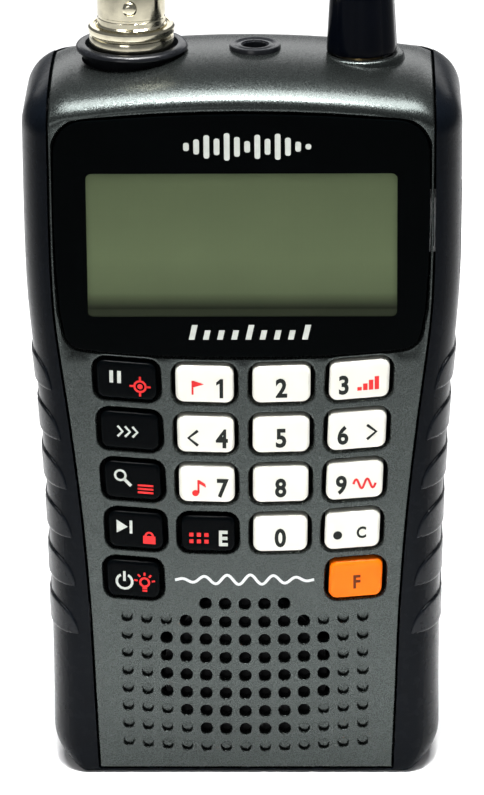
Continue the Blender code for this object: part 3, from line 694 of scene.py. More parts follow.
@dataclass(frozen=True)
class DrawnMetal(Finish):
    """Bare or plated metal with fine tool marks round or along the piece."""

    streak: Point3 = (1.0, 1.0, 14.0)

    def dress(self, shading: Shading) -> None:
        """Wire the tool marks, the tarnish and the uneven polish.

        Args:
            shading: The material being wired.
        """
        marks = shading.noise(0.0012, 4.0, self.streak)
        tarnish = shading.noise(0.0022, 4.0)
        dark, light = self.tones(0.72, 1.10)
        shading.drive("Base Color", shading.blend(shading.span(tarnish, 0.35, 0.7, 0.0, 1.0), light, dark))
        low, high = self.roughness * 0.75, self.roughness * 1.5
        shading.drive("Roughness", shading.span(marks, 0.3, 0.7, low, high))
        shading.bump([(marks, self.grain_depth)])


@dataclass(frozen=True)
class CellJacket(Finish):
    """A battery's printed sleeve: a coloured body with a metallic band at its top."""

    band: float = 0.0140

    def dress(self, shading: Shading) -> None:
        """Wire the band and the sleeve's fine print grain.

        Args:
            shading: The material being wired.
        """
        height = shading.node("SeparateXYZ", {"Vector": shading.place}).outputs[2]
        ring = shading.span(shading.math("PINGPONG", height, 0.0330), 0.0330 - self.band, 0.0332 - self.band,
                            0.0, 1.0)
        gold = (0.62, 0.42, 0.16)
        shading.drive("Base Color", shading.blend(ring, self.colour, gold))
        shading.drive("Metallic", shading.span(ring, 0.0, 1.0, 0.35, 0.9))
        shading.drive("Roughness", shading.span(shading.noise(0.003), 0.3, 0.7, 0.24, 0.36))
        shading.bump([(shading.noise(0.0004), 0.000003)])


@dataclass(frozen=True)
class Fibre(Finish):
    """Felt or pressed paper made of short matted fibres."""

    fibre: float = 0.0004

    def dress(self, shading: Shading) -> None:
        """Wire the matted fibres.

        Args:
            shading: The material being wired.
        """
        hair = shading.noise(self.fibre, 6.0, (1.0, 1.0, 0.35))
        dark, light = self.tones(0.5, 1.7)
        shading.drive("Base Color", shading.blend(shading.span(hair, 0.3, 0.7, 0.0, 1.0), dark, light))
        shading.drive("Roughness", shading.span(hair, 0.3, 0.7, 0.85, 1.0))
        shading.bump([(hair, 0.00008)])


class Look(Enum):
    """Every finish on the radio."""

    PANEL = MetallicPaint("panel_paint", (0.030, 0.0350, 0.0335), 0.25, 0.85, grain_depth=0.000004)
    RAIL = Finish("rail_plastic", (0.0018, 0.0026, 0.0040), 0.26, specular=0.042,
                  grain=0.00022, grain_depth=0.000003)
    GRIP = Finish("grip_plastic", (0.0034, 0.0044, 0.0062), 0.28, specular=0.11,
                  grain=0.00022, grain_depth=0.000004)
    BACK = Finish("back_plastic", (0.0100, 0.0110, 0.0125), 0.46, specular=0.30,
                  grain=0.00030, grain_depth=0.000018)
    LENS = Finish("lens_black", (0.0006, 0.0009, 0.0010), 0.10, specular=0.008, grain=0.0006,
                  grain_depth=0.0000002, mottle_size=0.009)
    LCD = LcdFace("lcd_field", (0.073, 0.094, 0.048), 0.32, specular=0.05)
    WHITE_KEY = Finish("key_ivory", (0.740, 0.730, 0.650), 0.38, grain=0.0003, grain_depth=0.000003,
                       mottle=0.02)
    BLACK_KEY = Finish("key_black", (0.0008, 0.0012, 0.0015), 0.22, specular=0.016, grain=0.0003,
                       grain_depth=0.000003)
    ORANGE_KEY = Finish("key_orange", (0.900, 0.150, 0.002), 0.36, specular=0.10, grain=0.0003,
                        grain_depth=0.000003, mottle=0.05)
    WHITE_INK = Finish("white_ink", (0.72, 0.74, 0.74), 0.55, mottle=0.04, mottle_size=0.0008)
    GREY_INK = Finish("grey_ink", (0.50, 0.52, 0.48), 0.50, specular=0.2, mottle=0.05, mottle_size=0.0008)
    RED_INK = Finish("red_ink", (0.62, 0.026, 0.026), 0.55, specular=0.1, mottle=0.08, mottle_size=0.0008)
    BLACK_INK = Finish("black_ink", (0.010, 0.012, 0.010), 0.50, specular=0.1, mottle=0.10,
                       mottle_size=0.0008)
    BROWN_INK = Finish("brown_ink", (0.110, 0.022, 0.004), 0.50, specular=0.1, mottle=0.10,
                       mottle_size=0.0008)
    RUBBER = Finish("mat_rubber", (0.004, 0.004, 0.004), 0.70, specular=0.1, grain_depth=0.00001)
    COLLAR = Finish("collar_plastic", (0.0060, 0.0066, 0.0080), 0.24, specular=0.25, grain_depth=0.000004)
    KNOB = Finish("knob_gloss", (0.0012, 0.0018, 0.0036), 0.15, specular=0.05, grain_depth=0.000003)
    NICKEL = DrawnMetal("nickel_plate", (0.71, 0.66, 0.50), 0.12, 1.0, grain_depth=0.000003)
    BRASS = DrawnMetal("turned_brass", (0.76, 0.55, 0.24), 0.22, 1.0, grain_depth=0.000004)
    STEEL = DrawnMetal("coil_steel", (0.52, 0.52, 0.54), 0.24, 1.0, grain_depth=0.000003)
    TIN = DrawnMetal("tin_plate", (0.60, 0.60, 0.61), 0.32, 1.0, streak=(9.0, 1.0, 1.0),
                     grain_depth=0.000006)
    SCREW = DrawnMetal("screw_steel", (0.085, 0.085, 0.090), 0.30, 1.0, grain_depth=0.000004)
    INSULATOR = Finish("insulator_white", (0.82, 0.80, 0.75), 0.45, mottle=0.05)
    GUIDE = Finish("guide_acrylic", (0.78, 0.80, 0.76), 0.25, mottle=0.03, coat=0.3)
    BOARD = CircuitBoard("circuit_board", (0.012, 0.090, 0.035), 0.35)
    PAPER = Fibre("paper_cone", (0.050, 0.046, 0.042), 0.9)
    FELT = Fibre("speaker_felt", (0.012, 0.012, 0.013), 0.95)
    CELL = CellJacket("cell_sleeve", (0.020, 0.065, 0.200), 0.3)

    @property
    def finish(self) -> Finish:
        """The finish itself."""
        return self.value


# ---------------------------------------------------------------- the case's form

@dataclass(frozen=True)
class CaseForm:
    """The case's outer skin: front-view outline, rounded long edges and domed top."""

    SIDE_GIRTH = 0.01008

    half_depth: float = 0.0155
    top: float = 0.1056
    arch_radius: float = 0.168
    top_dome: float = 0.0044
    side_round: Point2 = (0.0046, 0.0080)
    bottom_round: float = 0.0010
    corner_high: float = 0.0066
    corner_low: float = 0.0050
    gap: float = 0.0003
    side: tuple[Point2, ...] = ((0.0282, 0.0050), (0.0282, 0.0160), (0.0283, 0.0290), (0.02855, 0.0400),
                                (0.0290, 0.0490), (0.0295, 0.0570), (0.0302, 0.0650), (0.0308, 0.0730),
                                (0.0310, 0.0820), (0.0310, 0.0970))
    seam: tuple[Point2, ...] = ((0.0212, 0.0009), (0.0217, 0.0140), (0.02215, 0.0260), (0.0231, 0.0400),
                                (0.0246, 0.0545), (0.02635, 0.0690), (0.0268, 0.0775), (0.0269, 0.0860),
                                (0.0269, 0.1200))

    def crest(self, x: float) -> float:
        """Height of the top along the middle of its depth.

        Args:
            x: Distance from the middle.

        Returns:
            The height.
        """
        reach = max(abs(x) - (self.side[-1][0] - self.corner_high), 0.0)
        corner = self.corner_high - math.sqrt(max(self.corner_high ** 2 - reach ** 2, 0.0))
        return self.top - x * x / (2.0 * self.arch_radius) - corner

    def seam_half(self, z: float) -> float:
        """Half width of the front shell at a height."""
        return width_at(smooth_through(self.seam, 6), z)

    def outline(self) -> list[Point2]:
        """Front-view outline, counter-clockwise from the bottom middle.

        Returns:
            The outline's points.
        """
        low, high = self.corner_low, self.corner_high
        half_low, half_high = self.side[0][0], self.side[-1][0]
        right = [(half_low * 0.4, 0.0)]
        right += arc((half_low - low, low), low, -math.pi / 2, 0.0, 10)[:-1]
        right += smooth_through(self.side, 5)
        hip = self.top - (half_high - high) ** 2 / (2.0 * self.arch_radius) - high
        right += [p for p in arc((half_high - high, hip), high, 0.0, math.pi / 2 * 0.92, 12) if p[1] > 0.0972]
        right += [(x, self.top - x * x / (2.0 * self.arch_radius)) for x in (0.0215, 0.0165, 0.0110, 0.0055)]
        left = [(-x, z) for x, z in reversed(right)]
        return [(0.0, 0.0), *right, (0.0, self.top), *left]

    def rings(self, shares: Sequence[float], wall: float = 0.0) -> list[list[Point3]]:
        """Rings of the skin, or of the hollow inside a wall, at shares of the half depth.

        Args:
            shares: Shares of the half depth, from the faces inwards.
            wall: Thickness of the wall; 0 for the skin itself.

        Returns:
            One ring for each level, from front to back.
        """
        outline = self.outline()
        half = self.half_depth - wall
        rings = []
        for share in (*(-s for s in shares), *reversed(shares)):
            y = half * share
            across, depth = self.side_round
            side = wall + self.fall(abs(y) - half + depth, depth, across)
            top = wall * 1.6 + self.fall(abs(y), half, self.top_dome)
            bottom = wall + self.fall(abs(y) - half + self.bottom_round, self.bottom_round, self.bottom_round)
            ring = []
            for i, (x, z) in enumerate(outline):
                along = Vector(outline[(i + 1) % len(outline)]) - Vector(outline[i - 1])
                along.normalize()
                lift = top if -along.x > 0.0 else bottom
                ring.append((x - along.y * side, y, z + along.x * lift))
            rings.append(ring)
        return rings

    @staticmethod
    def fall(distance: float, length: float, depth: float) -> float:
        """Fall of a quarter ellipse at a distance past its start."""
        share = min(max(distance / length, 0.0), 1.0)
        return depth * (1.0 - math.sqrt(1.0 - share * share))

    def side_skin(self, hand: float, z: float, reach: float, lift: float) -> Point3:
        """Return a point on the side's skin.

        Args:
            hand: 1 for the right-hand side and -1 for the left.
            z: Height.
            reach: Distance along the skin from mid depth, positive towards the front.
            lift: Height above the skin.

        Returns:
            The point.
        """
        half = width_at(smooth_through(self.side, 6), z)
        across, depth = self.side_round
        flat = self.half_depth - depth
        way = 1.0 if reach >= 0.0 else -1.0
        distance = abs(reach)
        if distance <= flat:
            return hand * (half + lift), -way * distance, z
        angle = min((distance - flat) / FORM.SIDE_GIRTH, 1.0) * math.pi / 2.0
        normal = Vector((math.cos(angle) / across, math.sin(angle) / depth)).normalized()
        x = half - across * (1.0 - math.cos(angle)) + normal.x * lift
        return hand * x, -way * (flat + depth * math.sin(angle) + normal.y * lift), z


FORM = CaseForm()


# ---------------------------------------------------------------- front shell

@dataclass(frozen=True)
class Grille:
    """Layout of the speaker holes: through holes in the middle and blind dimples round them."""

    pitch: float = 0.002833
    first_row: float = 0.02385
    arc_radius: float = 0.1445
    hole_radius: float = 0.00089
    dimple_radius: float = 0.00080
    columns: int = 6
    reach: tuple[int, ...] = (3, 4, 4, 4, 4, 3, 2, -1)

    def spots(self) -> Iterable[tuple[float, float, bool]]:
        """Yield each hole's place and whether it goes right through.

        Returns:
            An iterator of across, up, and True for a through hole.
        """
        for column in range(-2, 3):
            x = column * self.pitch
            yield x, self.first_row + self.pitch + x * x / (2.0 * self.arc_radius), True
        for row, through in enumerate(self.reach):
            z = self.first_row - row * self.pitch * 0.992
            for column in range(-self.columns, self.columns + 1):
                x = column * self.pitch
                yield x, z + x * x / (2.0 * self.arc_radius), abs(column) <= through


@dataclass
class FrontShell:
    """The grey shell: flat panel, top that folds back over the case, holes and knob ring."""

    bottom: float = 0.0009
    fold: float = 0.1012
    cap_back: float = 0.0118
    roll: float = 0.0100
    edge: float = 0.00022
    wall: float = 0.0018
    ring_radius: float = 0.0059
    grille: Grille = field(default_factory=Grille)
    recess_edge: tuple[Point2, ...] = ((0.00032, 0.0), (0.00029, 0.00002), (0.00002, 0.00034),
                                       (0.0, 0.00038), (0.0, 0.0012))

    def fold_at(self, x: float) -> float:
        """Height at which the flat panel starts to roll over, at a distance from the middle."""
        return self.fold - (FORM.top - FORM.crest(x))

    def lift(self, u: float, v: float, depth: float) -> Point3:
        """Take flat coordinates to the panel or the rolled top, sunk by a depth.

        Args:
            u: Across.
            v: Up the panel and then along the roll.
            depth: Depth below the surface.

        Returns:
            The point.
        """
        start = self.fold_at(u)
        if v <= start:
            return u, -FORM.half_depth + depth, v
        angle = (v - start) / self.roll
        out = Vector((-math.cos(angle) / FORM.half_depth, math.sin(angle) / FORM.top_dome)).normalized()
        y = -FORM.half_depth * math.cos(angle) - out.x * depth
        z = start + FORM.top_dome * math.sin(angle) - out.y * depth
        return u, y, z

    def flat_height(self, x: float, y: float) -> float:
        """Flat coordinate of a point of the rolled top."""
        return self.fold_at(x) + self.roll * math.acos(-y / FORM.half_depth)

    def boundary(self) -> list[Point2]:
        """Flat outline of the whole shell, counter-clockwise.

        Returns:
            The outline's points.
        """
        right = [(FORM.seam_half(z), z) for z in [self.bottom + 0.1003 * i / 56 for i in range(57)]
                 if z < self.fold_at(0.0269) - 0.0004]
        edge = FORM.seam_half(0.1)
        finish = math.acos(-self.cap_back / FORM.half_depth)
        right += [(edge, self.fold_at(edge) + self.roll * finish * i / 24) for i in range(25)]
        columns = [edge * (1.0 - i / 14.0) for i in range(1, 14)]
        columns += [0.0, *(-c for c in reversed(columns))]
        top = [(x, self.flat_height(x, self.cap_back)) for x in columns]
        base = [(-0.0159, self.bottom), (-0.0106, self.bottom), (-0.0053, self.bottom), (0.0, self.bottom),
                (0.0053, self.bottom), (0.0106, self.bottom), (0.0159, self.bottom)]
        return [*base, *right, *top, *((-x, z) for x, z in reversed(right))]

    def build(self, keypad: "Keypad", lens: "Lens") -> None:
        """Build the shell with every opening in it.

        Args:
            keypad: The keys that come through the panel.
            lens: The window that sits in the panel.
        """
        piece = Piece("front_cover")
        sheet = Sheet(self.lift)
        sheet.add_loop(self.boundary(), [*edge_profile(self.edge), (0.0, 0.0030)], outer=True)
        for key in keypad.keys:
            hole = key.outline((0.0006, 0.0004), 0.0018, 7)
            sheet.add_loop(hole, [*edge_profile(0.00028), (0.0, self.wall)])
        sheet.add_loop(lens.outline(FORM.gap * 0.7), self.recess_edge)
        dimples = []
        for x, z, through in self.grille.spots():
            radius = self.grille.hole_radius if through else self.grille.dimple_radius
            deep = self.wall if through else 0.00080
            sheet.add_loop(circle((x, z), radius, 18), [*edge_profile(0.00012, 3), (0.0, deep)])
            if not through:
                dimples.append((x, z))
        for x, radius in ((-0.01565, 0.0070), (0.0018, 0.0035), (0.0169, 0.0044)):
            loop = [(x + radius * math.cos(a),
                     self.flat_height(x + radius * math.cos(a), radius * math.sin(a)))
                    for a in (math.tau * k / 40 for k in range(40))]
            sheet.add_loop(loop, [(0.0003, 0.0), (0.0001, 0.0), (0.0, 0.0002), (0.0, 0.0024)])
        sheet.add_points(self.roll_points(), 0.00055)
        sheet.build(piece)
        for x, z in dimples:
            floor = ((1.0, 0.00080), (0.94, 0.00088), (0.80, 0.00092))
            rings = [[(u, -FORM.half_depth + depth, v)
                      for u, v in circle((x, z), self.grille.dimple_radius * share, 18)] for share,
                     depth in floor]
            piece.skin(rings, caps="end")
        self.add_ring(piece)
        piece.make([Look.PANEL.finish], "case", "grey_case", ["front_shell"], sharp=50.0)

    def roll_points(self) -> Iterable[Point2]:
        """Yield the inner points that carry the rolled top's curvature.

        Returns:
            An iterator of flat coordinates.
        """
        ratio = FORM.top_dome / FORM.half_depth
        turns = [math.atan(math.tan(math.radians(6.0 * k)) * ratio) for k in range(13)]
        turns += [turns[-1] + 0.065 * k for k in range(1, 26)]
        for turn in turns:
            for column in range(-22, 23):
                x = column * 0.0012
                yield x, self.fold_at(x) + self.roll * turn

    def add_ring(self, piece: Piece) -> None:
        """Add the low ring that the knob stands in.

        Args:
            piece: The piece that takes the ring.
        """
        spot = (0.0169, 0.0, 0.0)
        rim = FORM.crest(spot[0]) + 0.00032
        radius = self.ring_radius
        piece.turned([(radius + 0.0003, rim - 0.0016), (radius + 0.0001, rim - 0.0004),
                      (radius - 0.0001, rim - 0.00012), (radius - 0.0004, rim), (radius - 0.0009, rim),
                      (radius - 0.0011, rim - 0.0001),
                      (radius - 0.0013, rim - 0.0010)], spot, segments=72)


# ---------------------------------------------------------------- display

@dataclass
class Lens:
    """The black window panel with its narrow chamfer, the LCD behind it and the printed marks."""

    front: float = -0.0158
    back: float = -0.0146
    chamfer: float = 0.00016
    window: tuple[float, float, float] = (0.02178, 0.07075, 0.09195)
    bar_row: float = 0.0959
    bar_pitch: float = 0.00142
    tick_row: float = 0.06735

    def outline(self, gap: float) -> list[Point2]:
        """Outline of the lens, grown by a gap.

        Args:
            gap: How far to grow it.

        Returns:
            The outline's points.
        """
        corners = mirrored([
            (0.0, 0.06467, 0.0), (0.0060, 0.06471, 0.0), (0.0120, 0.06488, 0.0), (0.0180, 0.06528, 0.0),
            (0.02475, 0.0661, 0.0030), (0.02575, 0.0715, 0.0), (0.0262, 0.0780, 0.0), (0.0264, 0.0860, 0.0),
            (0.0262, 0.09935, 0.0046), (0.0170, 0.0999, 0.0), (0.0120, 0.10022, 0.0), (0.0060, 0.10046, 0.0),
            (0.0, 0.10055, 0.0),
        ])
        loop = round_corners(corners, 10)
        return offset_loop(loop, gap) if gap else loop

    def build(self) -> None:
        """Build the lens, the LCD's face and the printed marks."""
        half, low, high = self.window
        opening = round_corners([(-half, low, 0.0008), (half, low, 0.0008), (half, high, 0.0008),
                                 (-half, high, 0.0008)], 6)
        piece = Piece("window_panel")
        sheet = Sheet(lambda u, v, depth: (u, self.front + depth, v))
        rim = [(self.chamfer * 1.15, 0.0), (self.chamfer, 0.0), (self.chamfer * 0.3, 0.00006), (0.0, 0.00022)]
        sheet.add_loop(self.outline(0.0), rim, outer=True)
        sheet.add_loop(opening, [(0.00004, 0.0), (0.0, 0.00002), (0.0, 0.0002)])
        sheet.build(piece)
        rim = self.outline(0.0)
        piece.skin([[(u, self.front + 0.00022, v) for u, v in rim], [(u, self.back, v) for u, v in rim]],
                   caps="end")
        piece.make([Look.LENS.finish], "case", "lens_panel", ["display_lens"], sharp=25.0)
        face = Piece("lcd_face")
        inner = offset_loop(opening, 0.0001)
        face.skin([[(u, self.front + depth, v) for u, v in inner] for depth in (0.00012, 0.0006)],
                  caps="both")
        face.make([Look.LCD.finish], "case", "lcd")
        self.print_marks()

    def print_marks(self) -> None:
        """Print the level-meter mark above the window and the slanted ticks below it."""
        level = self.front - 0.00002
        marks = Piece("window_marks")
        heights = (0.30, 0.55, 0.85, 0.60, 1.00, 0.72, 0.42, 0.88, 0.58, 0.95, 0.66, 0.36, 0.20)
        for i, share in enumerate(heights):
            x = 0.00085 + (i - (len(heights) - 1) / 2.0) * self.bar_pitch
            reach = 0.0020 * share
            bar = round_corners([(u, v, 0.0003) for u, v in
                                 box_shape(x - 0.0004, self.bar_row - reach, x + 0.0004,
                                           self.bar_row + reach)], 3)
            marks.skin([[(u, level, v) for u, v in bar]], caps="start")
        for i in range(9):
            x = -0.0076 + i * 0.0020
            tall = 0.0022 if i % 4 == 0 else 0.0014
            lean = tall * 0.22
            foot, head = self.tick_row, self.tick_row + tall
            tick = [(x, foot), (x + 0.0008, foot), (x + 0.0008 + lean, head), (x + lean, head)]
            marks.skin([[(u, level, v) for u, v in tick]], caps="start")
        marks.make([Look.GREY_INK.finish], "case", "lens_panel")


# ---------------------------------------------------------------- keypad

class Ink(Enum):
    """Which ink a legend is printed in; the value is its place among a key's materials."""

    BLACK = 0
    RED = 1
    PALE = 2
    BROWN = 3


@dataclass(frozen=True)
class Legend:
    """One printed mark on a key: a digit or letter, or the name of a small picture."""

    mark: str
    ink: Ink
    across: float = 0.0
    up: float = -0.0005
    size: float = 0.0029


@dataclass(frozen=True)
class KeyGrid:
    """Where the keys sit; each pair is for the outer and the inner columns."""

    column_x: Point2 = (0.01648, 0.00545)
    column_taper: Point2 = (0.00033, 0.00009)
    lowest_row: int = 4
    lowest_x: float = 0.01595
    top_row: float = 0.06055
    row_pitch: float = 0.0076
    arc_radius: float = 0.19
    width: Point2 = (0.0085, 0.00824)
    narrowing: Point2 = (0.00022, 0.00016)
    height: Point2 = (0.0057, 0.0055)
    lean: Point2 = (0.043, 0.012)


GRID = KeyGrid()


@dataclass(frozen=True)
class Key:
    """One key, with its place in the grid and its legends."""

    name: str
    row: int
    column: int
    look: Look
    legends: tuple[Legend, ...]
    front: float = -0.0161
    back: float = -0.0129

    def place(self) -> tuple[float, float, float, float, float, float]:
        """Return the centre, the size, the lean of the sides and the slope of the top edge.

        Returns:
            Centre across, centre height, width, height, lean and slope.
        """
        side = -1.0 if self.column < 2 else 1.0
        kind = 0 if self.column in (0, 3) else 1
        x = GRID.column_x[kind] - GRID.column_taper[kind] * self.row
        if self.row == GRID.lowest_row:
            x = GRID.lowest_x
        z = GRID.top_row - GRID.row_pitch * self.row + x * x / (2.0 * GRID.arc_radius)
        width = GRID.width[kind] - GRID.narrowing[kind] * self.row
        lean = side * GRID.lean[kind]
        return side * x, z, width, GRID.height[kind], lean, side * x / GRID.arc_radius

    def outline(self, grow: Point2, radius: float, steps: int = 6) -> list[Point2]:
        """Outline of the key, grown across and upwards, with rounded corners.

        Args:
            grow: Growth on each side, across and upwards.
            radius: Radius of the corners.
            steps: Pieces in each corner.

        Returns:
            The outline's points.
        """
        x, z, width, height, lean, slope = self.place()
        half_u, half_v = width / 2.0 + grow[0], height / 2.0 + grow[1]
        corners = [(x + u + lean * v, z + v + slope * u, radius)
                   for u, v in ((-half_u, -half_v), (half_u, -half_v), (half_u, half_v), (-half_u, half_v))]
        return round_corners(corners, steps)

    def build(self) -> None:
        """Build the key cap and print its legends."""
        x, z = self.place()[:2]
        piece = Piece(f"{self.name}_cap")
        rings = []
        crown = ((0.95, 0.0000), (0.52, 0.00001), (0.42, 0.00003), (0.28, 0.00010), (0.15, 0.00021),
                 (0.05, 0.00036), (0.0, 0.00055), (0.0, 0.0032))
        for inset, sink in crown:
            shrink = -inset / 1000.0
            loop = self.outline((shrink, shrink), max(0.0012 + shrink, 0.0004))
            rings.append([(u, self.front + sink, v) for u, v in loop])
        middle = [(x + (u - x) * 0.5, self.front + 0.00001, z + (v - z) * 0.5) for u, _, v in rings[0]]
        rings.insert(0, middle)
        piece.skin(rings, caps="both")
        slot = {Look.WHITE_KEY: "white_key", Look.BLACK_KEY: "black_key", Look.ORANGE_KEY: "orange_key"}
        piece.make([self.look.finish], self.name, slot[self.look], [self.name], sharp=40.0)
        self.print_legends(slot[self.look])

    def print_legends(self, slot: str) -> None:
        """Print every legend of the key as one thin sheet.

        Args:
            slot: The record's material slot of the key.
        """
        x, z, _, _, _, slope = self.place()
        piece = Piece(f"{self.name}_legend")
        for legend in self.legends:
            centre_x = x + legend.across
            centre_z = z + legend.up + slope * legend.across
            place = Matrix(((1.0, 0.0, 0.0, centre_x), (0.0, 0.0, -1.0, self.front - 0.00003),
                            (slope, 1.0, 0.0, centre_z), (0.0, 0.0, 0.0, 1.0)))
            if legend.mark in PICTURES:
                for shape in PICTURES[legend.mark]():
                    points = [place @ Vector((u * legend.size, v * legend.size, 0.0)) for u, v in shape]
                    piece.skin([[tuple(p) for p in points]], caps="start", finish=legend.ink.value)
            else:
                mesh = glyph(legend.mark, legend.size)
                piece.mesh_from(mesh, place, legend.ink.value)
                bpy.data.meshes.remove(mesh)
        inks = [Look.BLACK_INK.finish, Look.RED_INK.finish, Look.GREY_INK.finish, Look.BROWN_INK.finish]
        piece.make(inks, self.name, slot, sharp=80.0, tidy=False)


def glyph(character: str, height: float) -> bpy.types.Mesh:
    """Return a character as a flat mesh centred on the origin, of a height in metres.

    Args:
        character: The character.
        height: Its height.

    Returns:
        The mesh.
    """
    curve = bpy.data.curves.new("glyph", "FONT")
    curve.body = character
    curve.size = 1.0
    curve.offset = 0.034
    curve.resolution_u = 4
    holder = bpy.data.objects.new("glyph", curve)
    bpy.context.scene.collection.objects.link(holder)
    mesh = bpy.data.meshes.new_from_object(holder.evaluated_get(bpy.context.evaluated_depsgraph_get()))
    bpy.data.objects.remove(holder)
    bpy.data.curves.remove(curve)
    low = [min(v.co[i] for v in mesh.vertices) for i in (0, 1)]
    high = [max(v.co[i] for v in mesh.vertices) for i in (0, 1)]
    scale = height / (high[1] - low[1])
    middle = Vector(((low[0] + high[0]) / 2.0, (low[1] + high[1]) / 2.0, 0.0))
    mesh.transform(Matrix.Diagonal((scale * 0.86, scale, scale, 1.0)) @ Matrix.Translation(-middle))
    return mesh


def stroke(points: Sequence[Point2], width: float) -> list[Point2]:
    """Return the outline of a line of a width that runs through points.

    Args:
        points: The line's points.
        width: Width of the line.

    Returns:
        The outline: its right side, then its left side back.
    """
    left, right = [], []
    for i, point in enumerate(points):
        before = Vector(points[max(i - 1, 0)])
        after = Vector(points[min(i + 1, len(points) - 1)])
        along = (after - before).normalized()
        normal = Vector((-along.y, along.x)) * (width / 2.0)
        left.append(tuple(Vector(point) + normal))
        right.append(tuple(Vector(point) - normal))
    return [*right, *reversed(left)]


def ribbon(points: Sequence[Point2], width: float) -> list[list[Point2]]:
    """Return a line of a width as a row of quads.

    Args:
        points: The line's points.
        width: Width of the line.

    Returns:
        The quads.
    """
    outline = stroke(points, width)
    near, far = outline[:len(points)], list(reversed(outline[len(points):]))
    return [[near[i], near[i + 1], far[i + 1], far[i]] for i in range(len(points) - 1)]


def box_shape(u0: float, v0: float, u1: float, v1: float) -> list[Point2]:
    """Return a rectangle."""
    return [(u0, v0), (u1, v0), (u1, v1), (u0, v1)]


def ring_shape(radius: float, width: float, start: float = 0.0, stop: float = math.tau) -> list[list[Point2]]:
    """Return a ring, or part of one, as short strokes.

    Args:
        radius: Radius of the ring's middle.
        width: Width of the ring.
        start: Angle of the first end.
        stop: Angle of the last end.

    Returns:
        One quad for each stroke.
    """
    pieces = 12
    angles = [start + (stop - start) * i / pieces for i in range(pieces + 1)]
    inner, outer = radius - width / 2.0, radius + width / 2.0
    shapes = []
    for a, b in zip(angles, angles[1:]):
        corners = ((inner, a), (outer, a), (outer, b), (inner, b))
        shapes.append([(reach * math.cos(angle), reach * math.sin(angle)) for reach, angle in corners])
    return shapes


def cross_hair() -> list[list[Point2]]:
    """A target: a disc in a ring with four short arms.

    Returns:
        The target's shapes.
    """
    arms = [box_shape(-0.06, 0.34, 0.06, 0.62), box_shape(-0.06, -0.62, 0.06, -0.34),
            box_shape(-0.62, -0.06, -0.34, 0.06), box_shape(0.34, -0.06, 0.62, 0.06)]
    return [circle((0.0, 0.0), 0.16, 12), *ring_shape(0.34, 0.13), *arms]


def padlock() -> list[list[Point2]]:
    """A padlock: body and bow."""
    bow = [[(u, v + 0.10) for u, v in shape] for shape in ring_shape(0.26, 0.14, 0.0, math.pi)]
    return [box_shape(-0.44, -0.50, 0.44, 0.10), *bow]


def lamp() -> list[list[Point2]]:
    """A small lamp with rays.

    Returns:
        The lamp's shapes.
    """
    bulb = [[(u, v + 0.06) for u, v in shape] for shape in ring_shape(0.25, 0.12)]
    foot = [box_shape(-0.13, -0.50, 0.13, -0.38), box_shape(-0.13, -0.34, 0.13, -0.24)]
    rays = [stroke([(reach * math.cos(a), 0.06 + reach * math.sin(a)) for reach in (0.40, 0.58)], 0.10)
            for a in (0.2, 0.9, math.pi / 2, math.pi - 0.9, math.pi - 0.2)]
    return [*bulb, *foot, *rays]


def power() -> list[list[Point2]]:
    """The on-off symbol."""
    bow = ring_shape(0.40, 0.13, math.radians(118), math.radians(422))
    return [*bow, box_shape(-0.065, 0.02, 0.065, 0.56)]


def magnifier() -> list[list[Point2]]:
    """A magnifying glass."""
    glass = [[(u - 0.10, v + 0.10) for u, v in shape] for shape in ring_shape(0.28, 0.12)]
    return [*glass, stroke([(0.10, -0.10), (0.46, -0.46)], 0.17)]


PICTURES: dict[str, Callable[[], list[list[Point2]]]] = {
    "one": lambda: [[(-0.06, -0.5), (0.12, -0.5), (0.12, 0.5), (-0.02, 0.5), (-0.22, 0.32), (-0.22, 0.16),
                     (-0.06, 0.26)]],
    "pause": lambda: [box_shape(-0.34, -0.38, -0.12, 0.38), box_shape(0.12, -0.38, 0.34, 0.38)],
    "sweep": lambda: [stroke([(-0.78 + s, -0.36), (-0.46 + s, 0.0), (-0.78 + s, 0.36)], 0.15)
                      for s in (0.0, 0.48, 0.96)],
    "skip": lambda: [[(-0.50, -0.40), (0.14, 0.0), (-0.50, 0.40)], box_shape(0.24, -0.40, 0.40, 0.40)],
    "target": cross_hair,
    "padlock": padlock,
    "lamp": lamp,
    "power": power,
    "magnifier": magnifier,
    "list": lambda: [box_shape(-0.62, v, 0.62, v + 0.16) for v in (-0.38, -0.08, 0.22)],
    "flag": lambda: [box_shape(-0.42, -0.55, -0.28, 0.50), [(-0.28, 0.0), (0.48, 0.25), (-0.28, 0.50)]],
    "stairs": lambda: [box_shape(-0.66 + 0.34 * i, -0.42, -0.40 + 0.34 * i, -0.20 + 0.20 * i)
                       for i in range(4)],
    "wave": lambda: ribbon([(0.055 * i - 0.66, 0.30 * math.sin(0.055 * i * 9.5)) for i in range(25)], 0.14),
    "note": lambda: [circle((-0.22, -0.34), 0.20, 12), box_shape(-0.10, -0.34, 0.02, 0.50),
                     [(0.02, 0.50), (0.02, 0.26), (0.42, 0.02), (0.36, 0.26)]],
    "grid": lambda: [box_shape(u - 0.11, v - 0.11, u + 0.11, v + 0.11) for u in (-0.40, 0.0, 0.40)
                     for v in (-0.24, 0.14)],
    "left": lambda: [stroke([(0.26, -0.42), (-0.24, 0.0), (0.26, 0.42)], 0.16)],
    "right": lambda: [stroke([(-0.26, -0.42), (0.24, 0.0), (-0.26, 0.42)], 0.16)],
    "dot": lambda: [circle((0.0, 0.0), 0.38, 20)],
}


